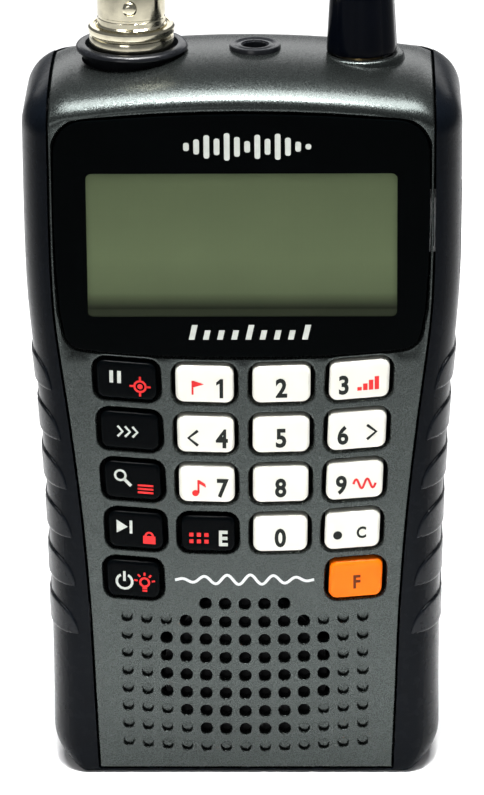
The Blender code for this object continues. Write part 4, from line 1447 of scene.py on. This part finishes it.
@dataclass
class Keypad:
    """The eighteen keys."""

    keys: list[Key] = field(default_factory=list)

    def __post_init__(self) -> None:
        """Lay out the keys and their legends."""
        ivory, black, orange = Look.WHITE_KEY, Look.BLACK_KEY, Look.ORANGE_KEY
        dark, red, pale, brown = Ink.BLACK, Ink.RED, Ink.PALE, Ink.BROWN
        self.keys = [
            Key("key_hold", 0, 0, black, (Legend("pause", pale, -0.0016, 0.0005, 0.0024),
                                          Legend("target", red, 0.0019, -0.0007, 0.0024))),
            Key("key_1", 0, 1, ivory, (Legend("flag", red, -0.0010, -0.0004, 0.0020),
                                       Legend("one", dark, 0.0023, -0.0005))),
            Key("key_2", 0, 2, ivory, (Legend("2", dark, 0.0000),)),
            Key("key_3", 0, 3, ivory, (Legend("3", dark, -0.0022),
                                       Legend("stairs", red, 0.0013, -0.0005, 0.0024))),
            Key("key_scan", 1, 0, black, (Legend("sweep", pale, 0.0000, -0.0001, 0.0022),)),
            Key("key_4", 1, 1, ivory, (Legend("left", dark, -0.0018, -0.0005, 0.0027),
                                       Legend("4", dark, 0.0023))),
            Key("key_5", 1, 2, ivory, (Legend("5", dark, 0.0000),)),
            Key("key_6", 1, 3, ivory, (Legend("6", dark, -0.0020),
                                       Legend("right", dark, 0.0021, -0.0003, 0.0026))),
            Key("key_search", 2, 0, black, (Legend("magnifier", pale, -0.0015, 0.0005, 0.0027),
                                            Legend("list", red, 0.0018, -0.0011, 0.0018))),
            Key("key_7", 2, 1, ivory, (Legend("note", red, -0.0011, -0.0005, 0.0024),
                                       Legend("7", dark, 0.0023))),
            Key("key_8", 2, 2, ivory, (Legend("8", dark, 0.0000),)),
            Key("key_9", 2, 3, ivory, (Legend("9", dark, -0.0019),
                                       Legend("wave", red, 0.0014, -0.0005, 0.0024))),
            Key("key_lockout", 3, 0, black, (Legend("skip", pale, -0.0015, 0.0005, 0.0025),
                                             Legend("padlock", red, 0.0019, -0.0009, 0.0020))),
            Key("key_enter", 3, 1, black, (Legend("grid", red, -0.0013, -0.0005, 0.0027),
                                           Legend("E", pale, 0.0022, -0.0006, 0.0024))),
            Key("key_0", 3, 2, ivory, (Legend("0", dark, 0.0000, -0.0006),)),
            Key("key_clear", 3, 3, ivory, (Legend("dot", dark, -0.0021, -0.0006, 0.0017),
                                           Legend("C", dark, 0.0013, -0.0004, 0.0018))),
            Key("key_power", 4, 0, black, (Legend("power", pale, -0.0013, -0.0004, 0.0028),
                                           Legend("lamp", red, 0.0016, -0.0005, 0.0026))),
            Key("key_function", 4, 3, orange, (Legend("F", brown, 0.0002, -0.0004, 0.0021),)),
        ]

    def build(self) -> None:
        """Build every key."""
        for key in self.keys:
            key.build()


# ---------------------------------------------------------------- rear shell

@dataclass
class RearShell:
    """The black shell: rails, sides, back and bottom, with its grips, screw wells and openings."""

    screw_spots: tuple[Point2, ...] = ((0.0196, 0.0120), (0.0249, 0.0930))
    pads: int = 6
    first_pad: float = 0.0593
    pad_pitch: float = 0.00745
    pad_height: float = 0.0046
    pad_lift: float = 0.00030

    def cutter(self, name: str) -> bpy.types.Object:
        """Return the front shell's room as a cutting object.

        Args:
            name: Name of the object.

        Returns:
            The cutting object.
        """
        gap = FORM.gap
        piece = Piece(name)
        seam = smooth_through(FORM.seam[:-1], 6)
        rings = []
        for half, z in [(half, z) for half, z in seam] + [(FORM.seam[-1][0], 0.0966)]:
            rings.append(self.room(half + gap, -0.0110 + gap, z - (gap if z < 0.001 else 0.0)))
        rings.append(self.room(FORM.seam[-1][0] + gap, 0.0118 + gap, 0.0970))
        rings.append(self.room(FORM.seam[-1][0] + gap, 0.0118 + gap, 0.1150))
        piece.skin(rings, caps="both")
        return self.bare(piece)

    @staticmethod
    def room(half: float, back: float, z: float) -> list[Point3]:
        """One level of the front shell's room."""
        return [(-half, -0.0200, z), (half, -0.0200, z), (half, back, z), (-half, back, z)]

    @staticmethod
    def bare(piece: Piece) -> bpy.types.Object:
        """Turn a piece into a plain object that is used only to cut.

        Args:
            piece: The piece.

        Returns:
            The plain object.
        """
        bmesh.ops.recalc_face_normals(piece.bm, faces=piece.bm.faces)
        mesh = bpy.data.meshes.new(piece.name)
        piece.bm.to_mesh(mesh)
        piece.bm.free()
        made = bpy.data.objects.new(piece.name, mesh)
        bpy.context.scene.collection.objects.link(made)
        return made

    def openings(self) -> list[bpy.types.Object]:
        """Return the objects that cut the shell.

        Returns:
            The cutting objects.
        """
        hollow = Piece("hollow")
        hollow.skin(FORM.rings((1.0, 0.9, 0.72, 0.4), 0.0018), caps="both")
        door_low, door_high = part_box("battery_door")
        port_low, port_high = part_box("port_cover")
        gap = FORM.gap
        wells = Piece("wells")
        for x, z in self.screw_spots:
            for hand in (-1.0, 1.0):
                well = [(0.0, 0.0120), (0.0022, 0.0120), (0.0022, 0.0150), (0.00245, 0.0170), (0.0, 0.0170)]
                wells.turned(well, (hand * x, 0.0, z), "Y", 40)
        slabs = {
            "doorway": ((door_low.x - gap, 0.0125, door_low.z - gap),
                        (door_high.x + gap, 0.0170, door_high.z + gap)),
            "latch": ((-0.0060, 0.0148, door_high.z), (0.0060, 0.0172, door_high.z + 0.0016)),
            "pocket": ((0.0300, port_low.y - gap, port_low.z - gap),
                       (0.0330, port_high.y + gap, port_high.z + gap)),
            "mouth": ((0.0270, -0.0090, 0.0777), (0.0320, -0.0044, 0.0863)),
        }
        boxes = []
        for name, (low, high) in slabs.items():
            box = Piece(name)
            box.slab(low, high)
            boxes.append(self.bare(box))
        return [self.cutter("room"), self.bare(hollow), self.bare(wells), *boxes]

    def build(self) -> None:
        """Build the shell, then its grips and wells."""
        form = Piece("rear_form")
        shares = (1.0, 0.996, 0.985, 0.965, 0.94, 0.91, 0.87, 0.82, 0.76, 0.69, 0.60, 0.50, 0.35, 0.18)
        form.skin(FORM.rings(shares), caps="both")
        solid = self.bare(form)
        cutters = self.openings()
        for cutter in cutters:
            modifier = solid.modifiers.new(cutter.name, "BOOLEAN")
            modifier.operation = "DIFFERENCE"
            modifier.solver = "EXACT"
            modifier.object = cutter
        cut = bpy.data.meshes.new_from_object(solid.evaluated_get(bpy.context.evaluated_depsgraph_get()))
        for item in (solid, *cutters):
            bpy.data.objects.remove(item)
        cut.materials.clear()
        shell = Piece("rear_cover")
        shell.mesh_from(cut, Matrix.Identity(4))
        bpy.data.meshes.remove(cut)
        for face in shell.bm.faces:
            face.material_index = 1 if face.normal.y > 0.95 and face.calc_center_median().y > 0.0152 else 0
        shell.make([Look.RAIL.finish, Look.BACK.finish], "case", "black_case", ["rear_shell"], sharp=32.0)
        self.build_grips()

    def build_grips(self) -> None:
        """Build the half-moon pads on both sides."""
        piece = Piece("grip_pads")
        for hand in (-1.0, 1.0):
            for number in range(self.pads):
                share = number / (self.pads - 1.0)
                angle = 63.0 + 22.0 * share ** 0.6
                reach = FORM.half_depth - FORM.side_round[1] + FORM.SIDE_GIRTH * angle / 90.0
                self.add_pad(piece, hand, self.first_pad - number * self.pad_pitch, reach)
        piece.make([Look.GRIP.finish], "case", "black_case", sharp=48.0)

    def add_pad(self, piece: Piece, hand: float, foot: float, reach: float) -> None:
        """Add one pad: a flat lower edge and a half-ellipse above it.

        Args:
            piece: The piece that takes the pad.
            hand: 1 for the right-hand side and -1 for the left.
            foot: Height of the pad's lower edge.
            reach: Distance along the skin from mid depth to the pad's ends.
        """
        height, start = self.pad_height, FORM.half_depth - FORM.side_round[1]
        span = 1.0 - math.cos((reach - start) / FORM.SIDE_GIRTH * math.pi / 2)
        bend = []
        for k in range(21):
            angle = math.pi / 2 * k / 20
            turn = math.acos(1.0 - math.cos(angle) * span)
            bend.append((start + FORM.SIDE_GIRTH * turn / (math.pi / 2), height * math.sin(angle)))
        level = [(start - 2.0 * start * k / 12, height) for k in range(1, 12)]
        base = [(-reach + 2.0 * reach * k / 28, 0.0) for k in range(1, 28)]
        loop = [*bend, *level, *((-u, v) for u, v in reversed(bend)), *base]
        edge = ((0.0, -0.00006), (0.00001, 0.00010), (0.00007, 0.00020), (0.00018, 0.00027),
                (0.00034, 0.00030))
        rings = []
        for inset, lift in edge:
            shrunk = offset_loop(loop, -inset) if inset > 0.00005 else loop
            rings.append([FORM.side_skin(hand, foot + v, u, lift) for u, v in shrunk])
        inner, centre = offset_loop(loop, -edge[-1][0]), (0.0, height * 0.42)
        for k in range(1, 12):
            scale = 1.0 - k / 12.0
            shrunk = [(u * scale, foot + centre[1] + (v - centre[1]) * scale) for u, v in inner]
            rings.append([FORM.side_skin(hand, v, u, self.pad_lift) for u, v in shrunk])
        piece.skin(rings, caps="end")


# ---------------------------------------------------------------- top hardware

@dataclass
class AerialSocket:
    """The bayonet socket with its collar, insulator and centre contact."""

    x: float = -0.01565
    lug_height: float = 0.1127

    def build(self) -> None:
        """Build the four pieces that show."""
        spot = (self.x, 0.0, 0.0)
        shell = Piece("socket_shell")
        shell.turned([(0.0027, 0.0960), (0.0047, 0.0960), (0.0047, 0.1058), (0.0057, 0.10578),
                      (0.00592, 0.1060),
                      (0.00598, 0.1064), (0.00598, 0.1074), (0.0059, 0.10765), (0.00572, 0.10775),
                      (0.0057, 0.1079),
                      (0.00592, 0.1080), (0.0061, 0.1082), (0.00614, 0.1085), (0.00612, 0.1089),
                      (0.0059, 0.1092),
                      (0.0054, 0.10925), (0.00535, 0.1091),
                      (0.0051, 0.1091), (0.00505, 0.1094), (0.00483, 0.1096), (0.00480, 0.1103),
                      (0.00470, 0.1104),
                      (0.00470, 0.1107), (0.00482, 0.1108), (0.00482, 0.1174), (0.00468, 0.11785),
                      (0.00445, 0.1180), (0.0042, 0.1180), (0.00405, 0.1178), (0.00405, 0.1098),
                      (0.0027, 0.1098), (0.0027, 0.0960)], spot, segments=96)
        for hand in (-1.0, 1.0):
            shell.turned([(0.0010, hand * 0.0042), (0.0010, hand * 0.0055), (0.00085, hand * 0.0057),
                          (0.0006, hand * 0.0058), (0.0, hand * 0.0058)], (self.x, 0.0, self.lug_height), "Y",
                         32)
        shell.make([Look.NICKEL.finish], "case", "nickel", ["aerial_socket"], sharp=32.0)
        collar = Piece("socket_collar")
        collar.turned([(0.0050, 0.1040), (0.0050, 0.1050), (0.0064, 0.1052), (0.00645, 0.1060),
                       (0.0066, 0.1064),
                       (0.0069, 0.10645), (0.0073, 0.10643), (0.0077, 0.1063), (0.0079, 0.10605),
                       (0.00795, 0.1058),
                       (0.0077, 0.1055), (0.0070, 0.1048), (0.0067, 0.1037), (0.0050, 0.1037),
                       (0.0050, 0.1040)],
                      spot, segments=96)
        collar.make([Look.COLLAR.finish], "case", "tray_plastic", ["aerial_collar"])
        core = Piece("socket_core")
        core.turned([(0.0014, 0.1098), (0.0014, 0.1163), (0.0016, 0.1165), (0.0022, 0.1165), (0.0024, 0.1163),
                     (0.0024, 0.0975), (0.0014, 0.0975), (0.0014, 0.1098)], spot, segments=48)
        core.make([Look.INSULATOR.finish], "case", "socket_insulator", ["aerial_insulator"])
        contact = Piece("socket_contact")
        contact.turned([(0.0, 0.0950), (0.0011, 0.0950), (0.0011, 0.1156), (0.0010, 0.1158), (0.0008, 0.1158),
                        (0.0007, 0.1156), (0.0007, 0.1100), (0.0, 0.1100)], spot, segments=40)
        contact.make([Look.BRASS.finish], "case", "brass", ["aerial_contact"])


@dataclass
class EarphoneJack:
    """The earphone jack's ring and barrel."""

    x: float = 0.0018

    def build(self) -> None:
        """Build the jack."""
        jack = Piece("jack_ring")
        jack.turned([(0.00175, 0.0925), (0.0037, 0.0925), (0.0037, 0.1012), (0.0030, 0.1012),
                     (0.0030, 0.1050),
                     (0.00366, 0.1050), (0.00367, 0.1058), (0.00355, 0.1061), (0.0032, 0.1062),
                     (0.0029, 0.1061),
                     (0.0026, 0.1060), (0.0023, 0.1061), (0.0020, 0.1061), (0.00178, 0.1058),
                     (0.00175, 0.0925)],
                    (self.x, 0.0, 0.0), segments=64)
        jack.make([Look.COLLAR.finish], "case", "tray_plastic", ["earphone_jack"])


@dataclass
class Knobs:
    """The stacked pair of fluted knobs."""

    x: float = 0.0169
    flutes: int = 8

    def flute(self, angle: float) -> float:
        """Pull the radius in between the flutes' ridges.

        Args:
            angle: Angle round the knob.

        Returns:
            A factor on the radius.
        """
        share = math.cos(self.flutes * (angle + math.radians(-16.0))) * 0.5 + 0.5
        return 1.0 - 0.040 * (1.0 - share ** 0.6)

    def build(self) -> None:
        """Build the lower squelch knob and the upper volume knob."""
        spot = (self.x, 0.0, 0.0)
        plain = Piece("squelch_cap")
        wall = [(0.00505, 0.1054), (0.00508, 0.1058)]
        wall += [(0.00508 - 0.00050 * k / 14, 0.1058 + 0.0082 * k / 14) for k in range(1, 15)]
        plain.turned([(0.0033, 0.1053), (0.0048, 0.1053), *wall, (0.00448, 0.1144), (0.00430, 0.1146),
                      (0.0035, 0.1146), (0.0033, 0.1144), (0.0033, 0.1053)], spot, segments=160,
                     swell=self.flute)
        plain.make([Look.KNOB.finish], "squelch", "knob_plastic", ["squelch_knob"], sharp=50.0)
        upper = Piece("volume_cap")
        wall = [(0.00375 - 0.00032 * k / 8, 0.1153 + 0.0057 * k / 8) for k in range(9)]
        upper.turned([(0.0018, 0.1149), (0.0036, 0.1149), *wall, (0.00330, 0.1213), (0.00300, 0.1215),
                      (0.0014, 0.12155), (0.0, 0.12145)], spot, segments=128, swell=self.flute)
        upper.turned([(0.0018, 0.1149), (0.0018, 0.1179), (0.0, 0.1179)], spot, segments=128)
        upper.make([Look.KNOB.finish], "volume", "knob_plastic", ["volume_knob"], sharp=50.0)
        line = Piece("volume_pointer")
        line.slab((self.x - 0.00025, -0.0030, 0.12147), (self.x + 0.00025, -0.0012, 0.12160))
        line.make([Look.WHITE_INK.finish], "volume", "knob_plastic")


# ---------------------------------------------------------------- back and side hardware

@dataclass
class BackHardware:
    """Battery door, belt clip, screws and side cover."""

    pin: Point2 = (0.0216, 0.0900)

    def build(self) -> None:
        """Build each piece."""
        self.build_door()
        self.build_clip()
        self.build_screws()
        self.build_cover()

    def build_door(self) -> None:
        """Build the battery door with a ribbed thumb rest."""
        low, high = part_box("battery_door")
        door = Piece("battery_cover")
        door.slab(low, high, bevel=0.0003)
        for k in range(6):
            z = high.z - 0.0060 - 0.0013 * k
            door.slab((-0.0065, high.y - 0.0002, z - 0.00035), (0.0065, high.y + 0.00035, z + 0.00035),
                      bevel=0.0002)
        door.make([Look.BACK.finish], "battery_cover", "black_case", ["battery_door"])

    def build_clip(self) -> None:
        """Build the clip's arm with ribs, and its base with two ears."""
        pin_y, pin_z = self.pin
        near, far = pin_y + 0.0006, pin_y + 0.0024
        foot, tip = pin_z - 0.0285, 0.0165
        side = [(near, pin_z + 0.0080), (near, foot + 0.0062), (near - 0.0006, foot + 0.0046),
                (tip + 0.0012, foot + 0.0030), (tip, foot + 0.0018), (tip + 0.0006, foot),
                (far - 0.0014, foot + 0.0004),
                (far - 0.0002, foot + 0.0014), (far, foot + 0.0030), (far, pin_z + 0.0060),
                (far + 0.0008, pin_z + 0.0088), (near + 0.0010, pin_z + 0.0090)]
        arm = Piece("clip_lever")
        rows = []
        for share, inset in ((-1.0, 0.0003), (-0.985, 0.0), (0.985, 0.0), (1.0, 0.0003)):
            loop = offset_loop(list(reversed(side)), -inset)
            rows.append([(0.0081 * share, y, z) for y, z in loop])
        arm.skin(rows, caps="both")
        for k in range(5):
            arm.slab((-0.0055, far + 0.0004, pin_z + 0.0050 + 0.0008 * k - 0.0002),
                     (0.0055, far + 0.0009 + 0.0001 * k, pin_z + 0.0050 + 0.0008 * k + 0.0002), bevel=0.0001)
        for hand in (-1.0, 1.0):
            arm.turned([(0.0013, hand * 0.0029), (0.0023, hand * 0.0029), (0.0023, hand * 0.0081),
                        (0.0013, hand * 0.0081), (0.0013, hand * 0.0029)], (0.0, pin_y, pin_z), "X", 40)
        arm.make([Look.BACK.finish], "belt_clip", "black_case", ["clip_arm"], sharp=40.0)
        base = Piece("clip_mount")
        base.slab((-0.0105, 0.0158, pin_z - 0.0090), (0.0105, 0.0176, pin_z + 0.0060), bevel=0.0004)
        for hand in (-1.0, 1.0):
            ear = [(pin_z - 0.0040, 0.0167), (pin_z + 0.0040, 0.0167)]
            ear += [(pin_z + 0.0024 * math.cos(a), pin_y + 0.0024 * math.sin(a))
                    for a in (math.pi * k / 16 for k in range(17))]
            base.skin([[(hand * x, y, z) for z, y in ear] for x in (0.0085, 0.0104)], caps="both")
        base.make([Look.BACK.finish], "case", "black_case", ["clip_base"], sharp=40.0)

    def build_screws(self) -> None:
        """Build the heads of the case screws and of the clip's screw, each with a thin dark cross laid on it
        as painted shade of its recess.
        """
        spots = {}
        for number in range(1, 5):
            low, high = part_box(f"case_screw_{number}")
            spots[f"case_screw_{number}"] = ((low + high) / 2.0, high.y)
        low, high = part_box("clip_screw")
        spots["clip_screw"] = ((low + high) / 2.0, high.y)
        for name, (middle, top) in spots.items():
            screw = Piece(f"{name}_head")
            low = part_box(name)[0]
            screw.turned([(0.0, low.y), (0.0010, low.y + 0.0006), (0.0010, top - 0.0015),
                          (0.0018, top - 0.0014),
                          (0.0019, top - 0.0012), (0.0019, top - 0.0006), (0.0017, top - 0.00025),
                          (0.0013, top - 0.00008),
                          (0.0, top - 0.00006)], (middle.x, 0.0, middle.z), "Y", 48)
            # Painted shade: the recess is not cut; a thin dark sheet in the rubber finish lies on the head
            # where the recess's shade would be.
            for turn in (0.0, math.pi / 2):
                arm = Matrix.Rotation(turn + 0.5, 4, "Y")
                slot = [arm @ Vector((u, 0.0, v)) for u, v in box_shape(-0.0010, -0.00016, 0.0010, 0.00016)]
                screw.skin([[(middle.x + p.x, top, middle.z + p.z) for p in slot],
                            [(middle.x + p.x, top - 0.0001, middle.z + p.z) for p in slot]], caps="both",
                           finish=1)
            screw.make([Look.SCREW.finish, Look.RUBBER.finish], "case", "zinc_screw", [name])

    def build_cover(self) -> None:
        """Build the rubber side cover."""
        low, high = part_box("port_cover")
        cover = Piece("side_flap")
        flat = FORM.half_depth - FORM.side_round[1]
        far = flat + FORM.SIDE_GIRTH * math.asin((-low.y - flat) / FORM.side_round[1]) / (math.pi / 2)
        loop = round_corners([(-high.y, low.z, 0.0006), (far, low.z, 0.0006), (far, high.z, 0.0006),
                              (-high.y, high.z, 0.0006)], 5)
        centre = ((far - high.y) / 2.0, (low.z + high.z) / 2.0)
        rings = [[(low.x, FORM.side_skin(1.0, v, u, 0.0)[1], v) for u, v in loop]]
        for inset, lift in ((0.0, -0.00016), (0.00005, -0.00006), (0.00018, -0.00001)):
            rings.append([FORM.side_skin(1.0, v, u, lift) for u, v in offset_loop(loop, -inset)])
        for share in (0.75, 0.5, 0.25):
            rings.append([FORM.side_skin(1.0, centre[1] + (v - centre[1]) * share,
                                         centre[0] + (u - centre[0]) * share, -0.00001) for u, v in loop])
        cover.skin(rings, caps="both")
        cover.make([Look.RUBBER.finish], "side_cover", "rubber", ["port_cover"])


@dataclass
class Inside:
    """Finishes for the pieces that keep their CAD shape."""

    looks: dict[str, Look] = field(default_factory=lambda: {
        "lcd": Look.LCD, "light_guide": Look.GUIDE, "rubber": Look.RUBBER, "board": Look.BOARD,
        "tinned_steel": Look.TIN, "spring_steel": Look.STEEL, "zinc_screw": Look.SCREW, "nickel": Look.NICKEL,
        "brass": Look.BRASS, "socket_insulator": Look.INSULATOR, "speaker_paper": Look.PAPER,
        "speaker_cloth": Look.FELT, "cell_jacket": Look.CELL, "tray_plastic": Look.BACK,
        "black_case": Look.BACK, "grey_case": Look.PANEL, "knob_plastic": Look.KNOB, "lens_panel": Look.LENS,
        "black_key": Look.BLACK_KEY, "white_key": Look.WHITE_KEY, "orange_key": Look.ORANGE_KEY,
    })

    def dress(self) -> None:
        """Give every CAD node the finish of its material slot."""
        for entry in frame["record"]["subparts"]:
            node = frame["nodes"][entry["node"]]
            material = self.looks[entry["material_slot"]].finish.material()
            node.data.materials.clear()
            node.data.materials.append(material)
            LOG.info("%s keeps its shape, in %s", entry["node"], material.name)


# ---------------------------------------------------------------- studio

@dataclass
class Studio:
    """Camera, floor and soft lights."""

    eye: Point3 = (0.01263, -0.68286, 0.31040)
    lens: float = 227.77
    pitch: float = math.radians(-20.676)
    yaw: float = math.radians(1.0975)
    roll: float = math.radians(-0.467)

    def build(self) -> None:
        """Set up the view, the floor and the light."""
        self.add_camera()
        self.add_floor()
        self.add_softbox("top_light", (0.0, 0.04, 0.55), (0.0, 0.041, 0.0), (0.42, 0.21), 6.2)
        self.add_softbox("front_light", (-0.30, -0.90, 0.35), (0.0, 0.0, 0.05), (0.40, 0.40), 1.50)
        self.add_softbox("base_light", (0.0, -0.07, 0.45), (0.0, -0.069, 0.0), (0.10, 0.06), 0.20, 40.0)
        self.add_softbox("rear_light", (0.0, 1.10, 0.45), (0.0, 0.15, 0.0), (1.40, 0.35), 2.4)
        world = bpy.data.worlds.new("studio")
        world.use_nodes = True
        world.node_tree.nodes["Background"].inputs["Color"].default_value = (0.93, 0.96, 1.0, 1.0)
        world.node_tree.nodes["Background"].inputs["Strength"].default_value = 0.20
        bpy.context.scene.world = world
        bpy.context.scene.view_settings.view_transform = "Standard"

    def add_camera(self) -> None:
        """Place the camera."""
        camera = bpy.data.objects.new("camera", bpy.data.cameras.new("camera"))
        camera.data.lens = self.lens
        camera.data.sensor_width = 36.0
        camera.data.clip_start = 0.01
        forward = Vector((math.sin(-self.yaw) * math.cos(self.pitch),
                          math.cos(self.yaw) * math.cos(self.pitch),
                          math.sin(self.pitch)))
        right = forward.cross(Vector((0.0, 0.0, 1.0))).normalized()
        up = right.cross(forward)
        turned_right = math.cos(self.roll) * right + math.sin(self.roll) * up
        turned_up = -math.sin(self.roll) * right + math.cos(self.roll) * up
        camera.matrix_world = Matrix((
            (turned_right.x, turned_up.x, -forward.x, self.eye[0]),
            (turned_right.y, turned_up.y, -forward.y, self.eye[1]),
            (turned_right.z, turned_up.z, -forward.z, self.eye[2]),
            (0.0, 0.0, 0.0, 1.0)))
        bpy.context.scene.collection.objects.link(camera)
        bpy.context.scene.camera = camera

    def add_floor(self) -> None:
        """Lay the pale floor."""
        mesh = bpy.data.meshes.new("floor")
        bm = bmesh.new()
        bmesh.ops.create_grid(bm, x_segments=8, y_segments=8, size=4.0)
        bm.to_mesh(mesh)
        bm.free()
        paper = Finish("studio_paper", (0.97, 0.97, 0.97), 0.8, specular=0.2, mottle=0.01, mottle_size=0.3,
                       grain=0.002, grain_depth=0.00001)
        mesh.materials.append(paper.material())
        floor = bpy.data.objects.new("floor", mesh)
        bpy.context.scene.collection.objects.link(floor)

    @staticmethod
    def add_softbox(name: str, place: Point3, target: Point3, size: Point2, power: float,
                    spread: float = 180.0) -> None:
        """Hang one rectangular light that looks at a target.

        Args:
            name: Name of the light.
            place: Where it hangs.
            target: What it looks at.
            size: Its width and height.
            power: Its power in watts.
            spread: Angle of its spread in degrees.
        """
        light = bpy.data.lights.new(name, "AREA")
        light.shape = "RECTANGLE"
        light.size, light.size_y = size
        light.energy = power
        light.spread = math.radians(spread)
        holder = bpy.data.objects.new(name, light)
        holder.location = place
        holder.rotation_euler = (Vector(target) - Vector(place)).to_track_quat("-Z", "Y").to_euler()
        bpy.context.scene.collection.objects.link(holder)


def print_flourish() -> None:
    """Print the plain white signal trace between the two lowest keys."""
    level = -FORM.half_depth - 0.00002
    trace = []
    for k in range(97):
        share = k / 96.0
        swing = math.sin(share * math.pi) ** 0.7 * math.sin(share * math.tau * 6.0)
        trace.append((-0.0100 + 0.0200 * share, 0.03050 + 0.00075 * swing))
    piece = Piece("panel_trace")
    outline = stroke(trace, 0.00042)
    half = len(trace)
    right, left = outline[:half], list(reversed(outline[half:]))
    piece.skin([[(u, level, v) for u, v in right], [(u, level, v) for u, v in left]], closed=False)
    piece.make([Look.WHITE_INK.finish], "case", "grey_case", sharp=80.0)


def main() -> None:
    """Build the radio, dress it, and light it."""
    logging.basicConfig(level=logging.INFO, format="%(name)s: %(message)s")
    Studio().build()
    Inside().dress()
    keypad, lens = Keypad(), Lens()
    FrontShell().build(keypad, lens)
    lens.build()
    keypad.build()
    print_flourish()
    RearShell().build()
    AerialSocket().build()
    EarphoneJack().build()
    Knobs().build()
    BackHardware().build()


if __name__ == "__main__":
    main()
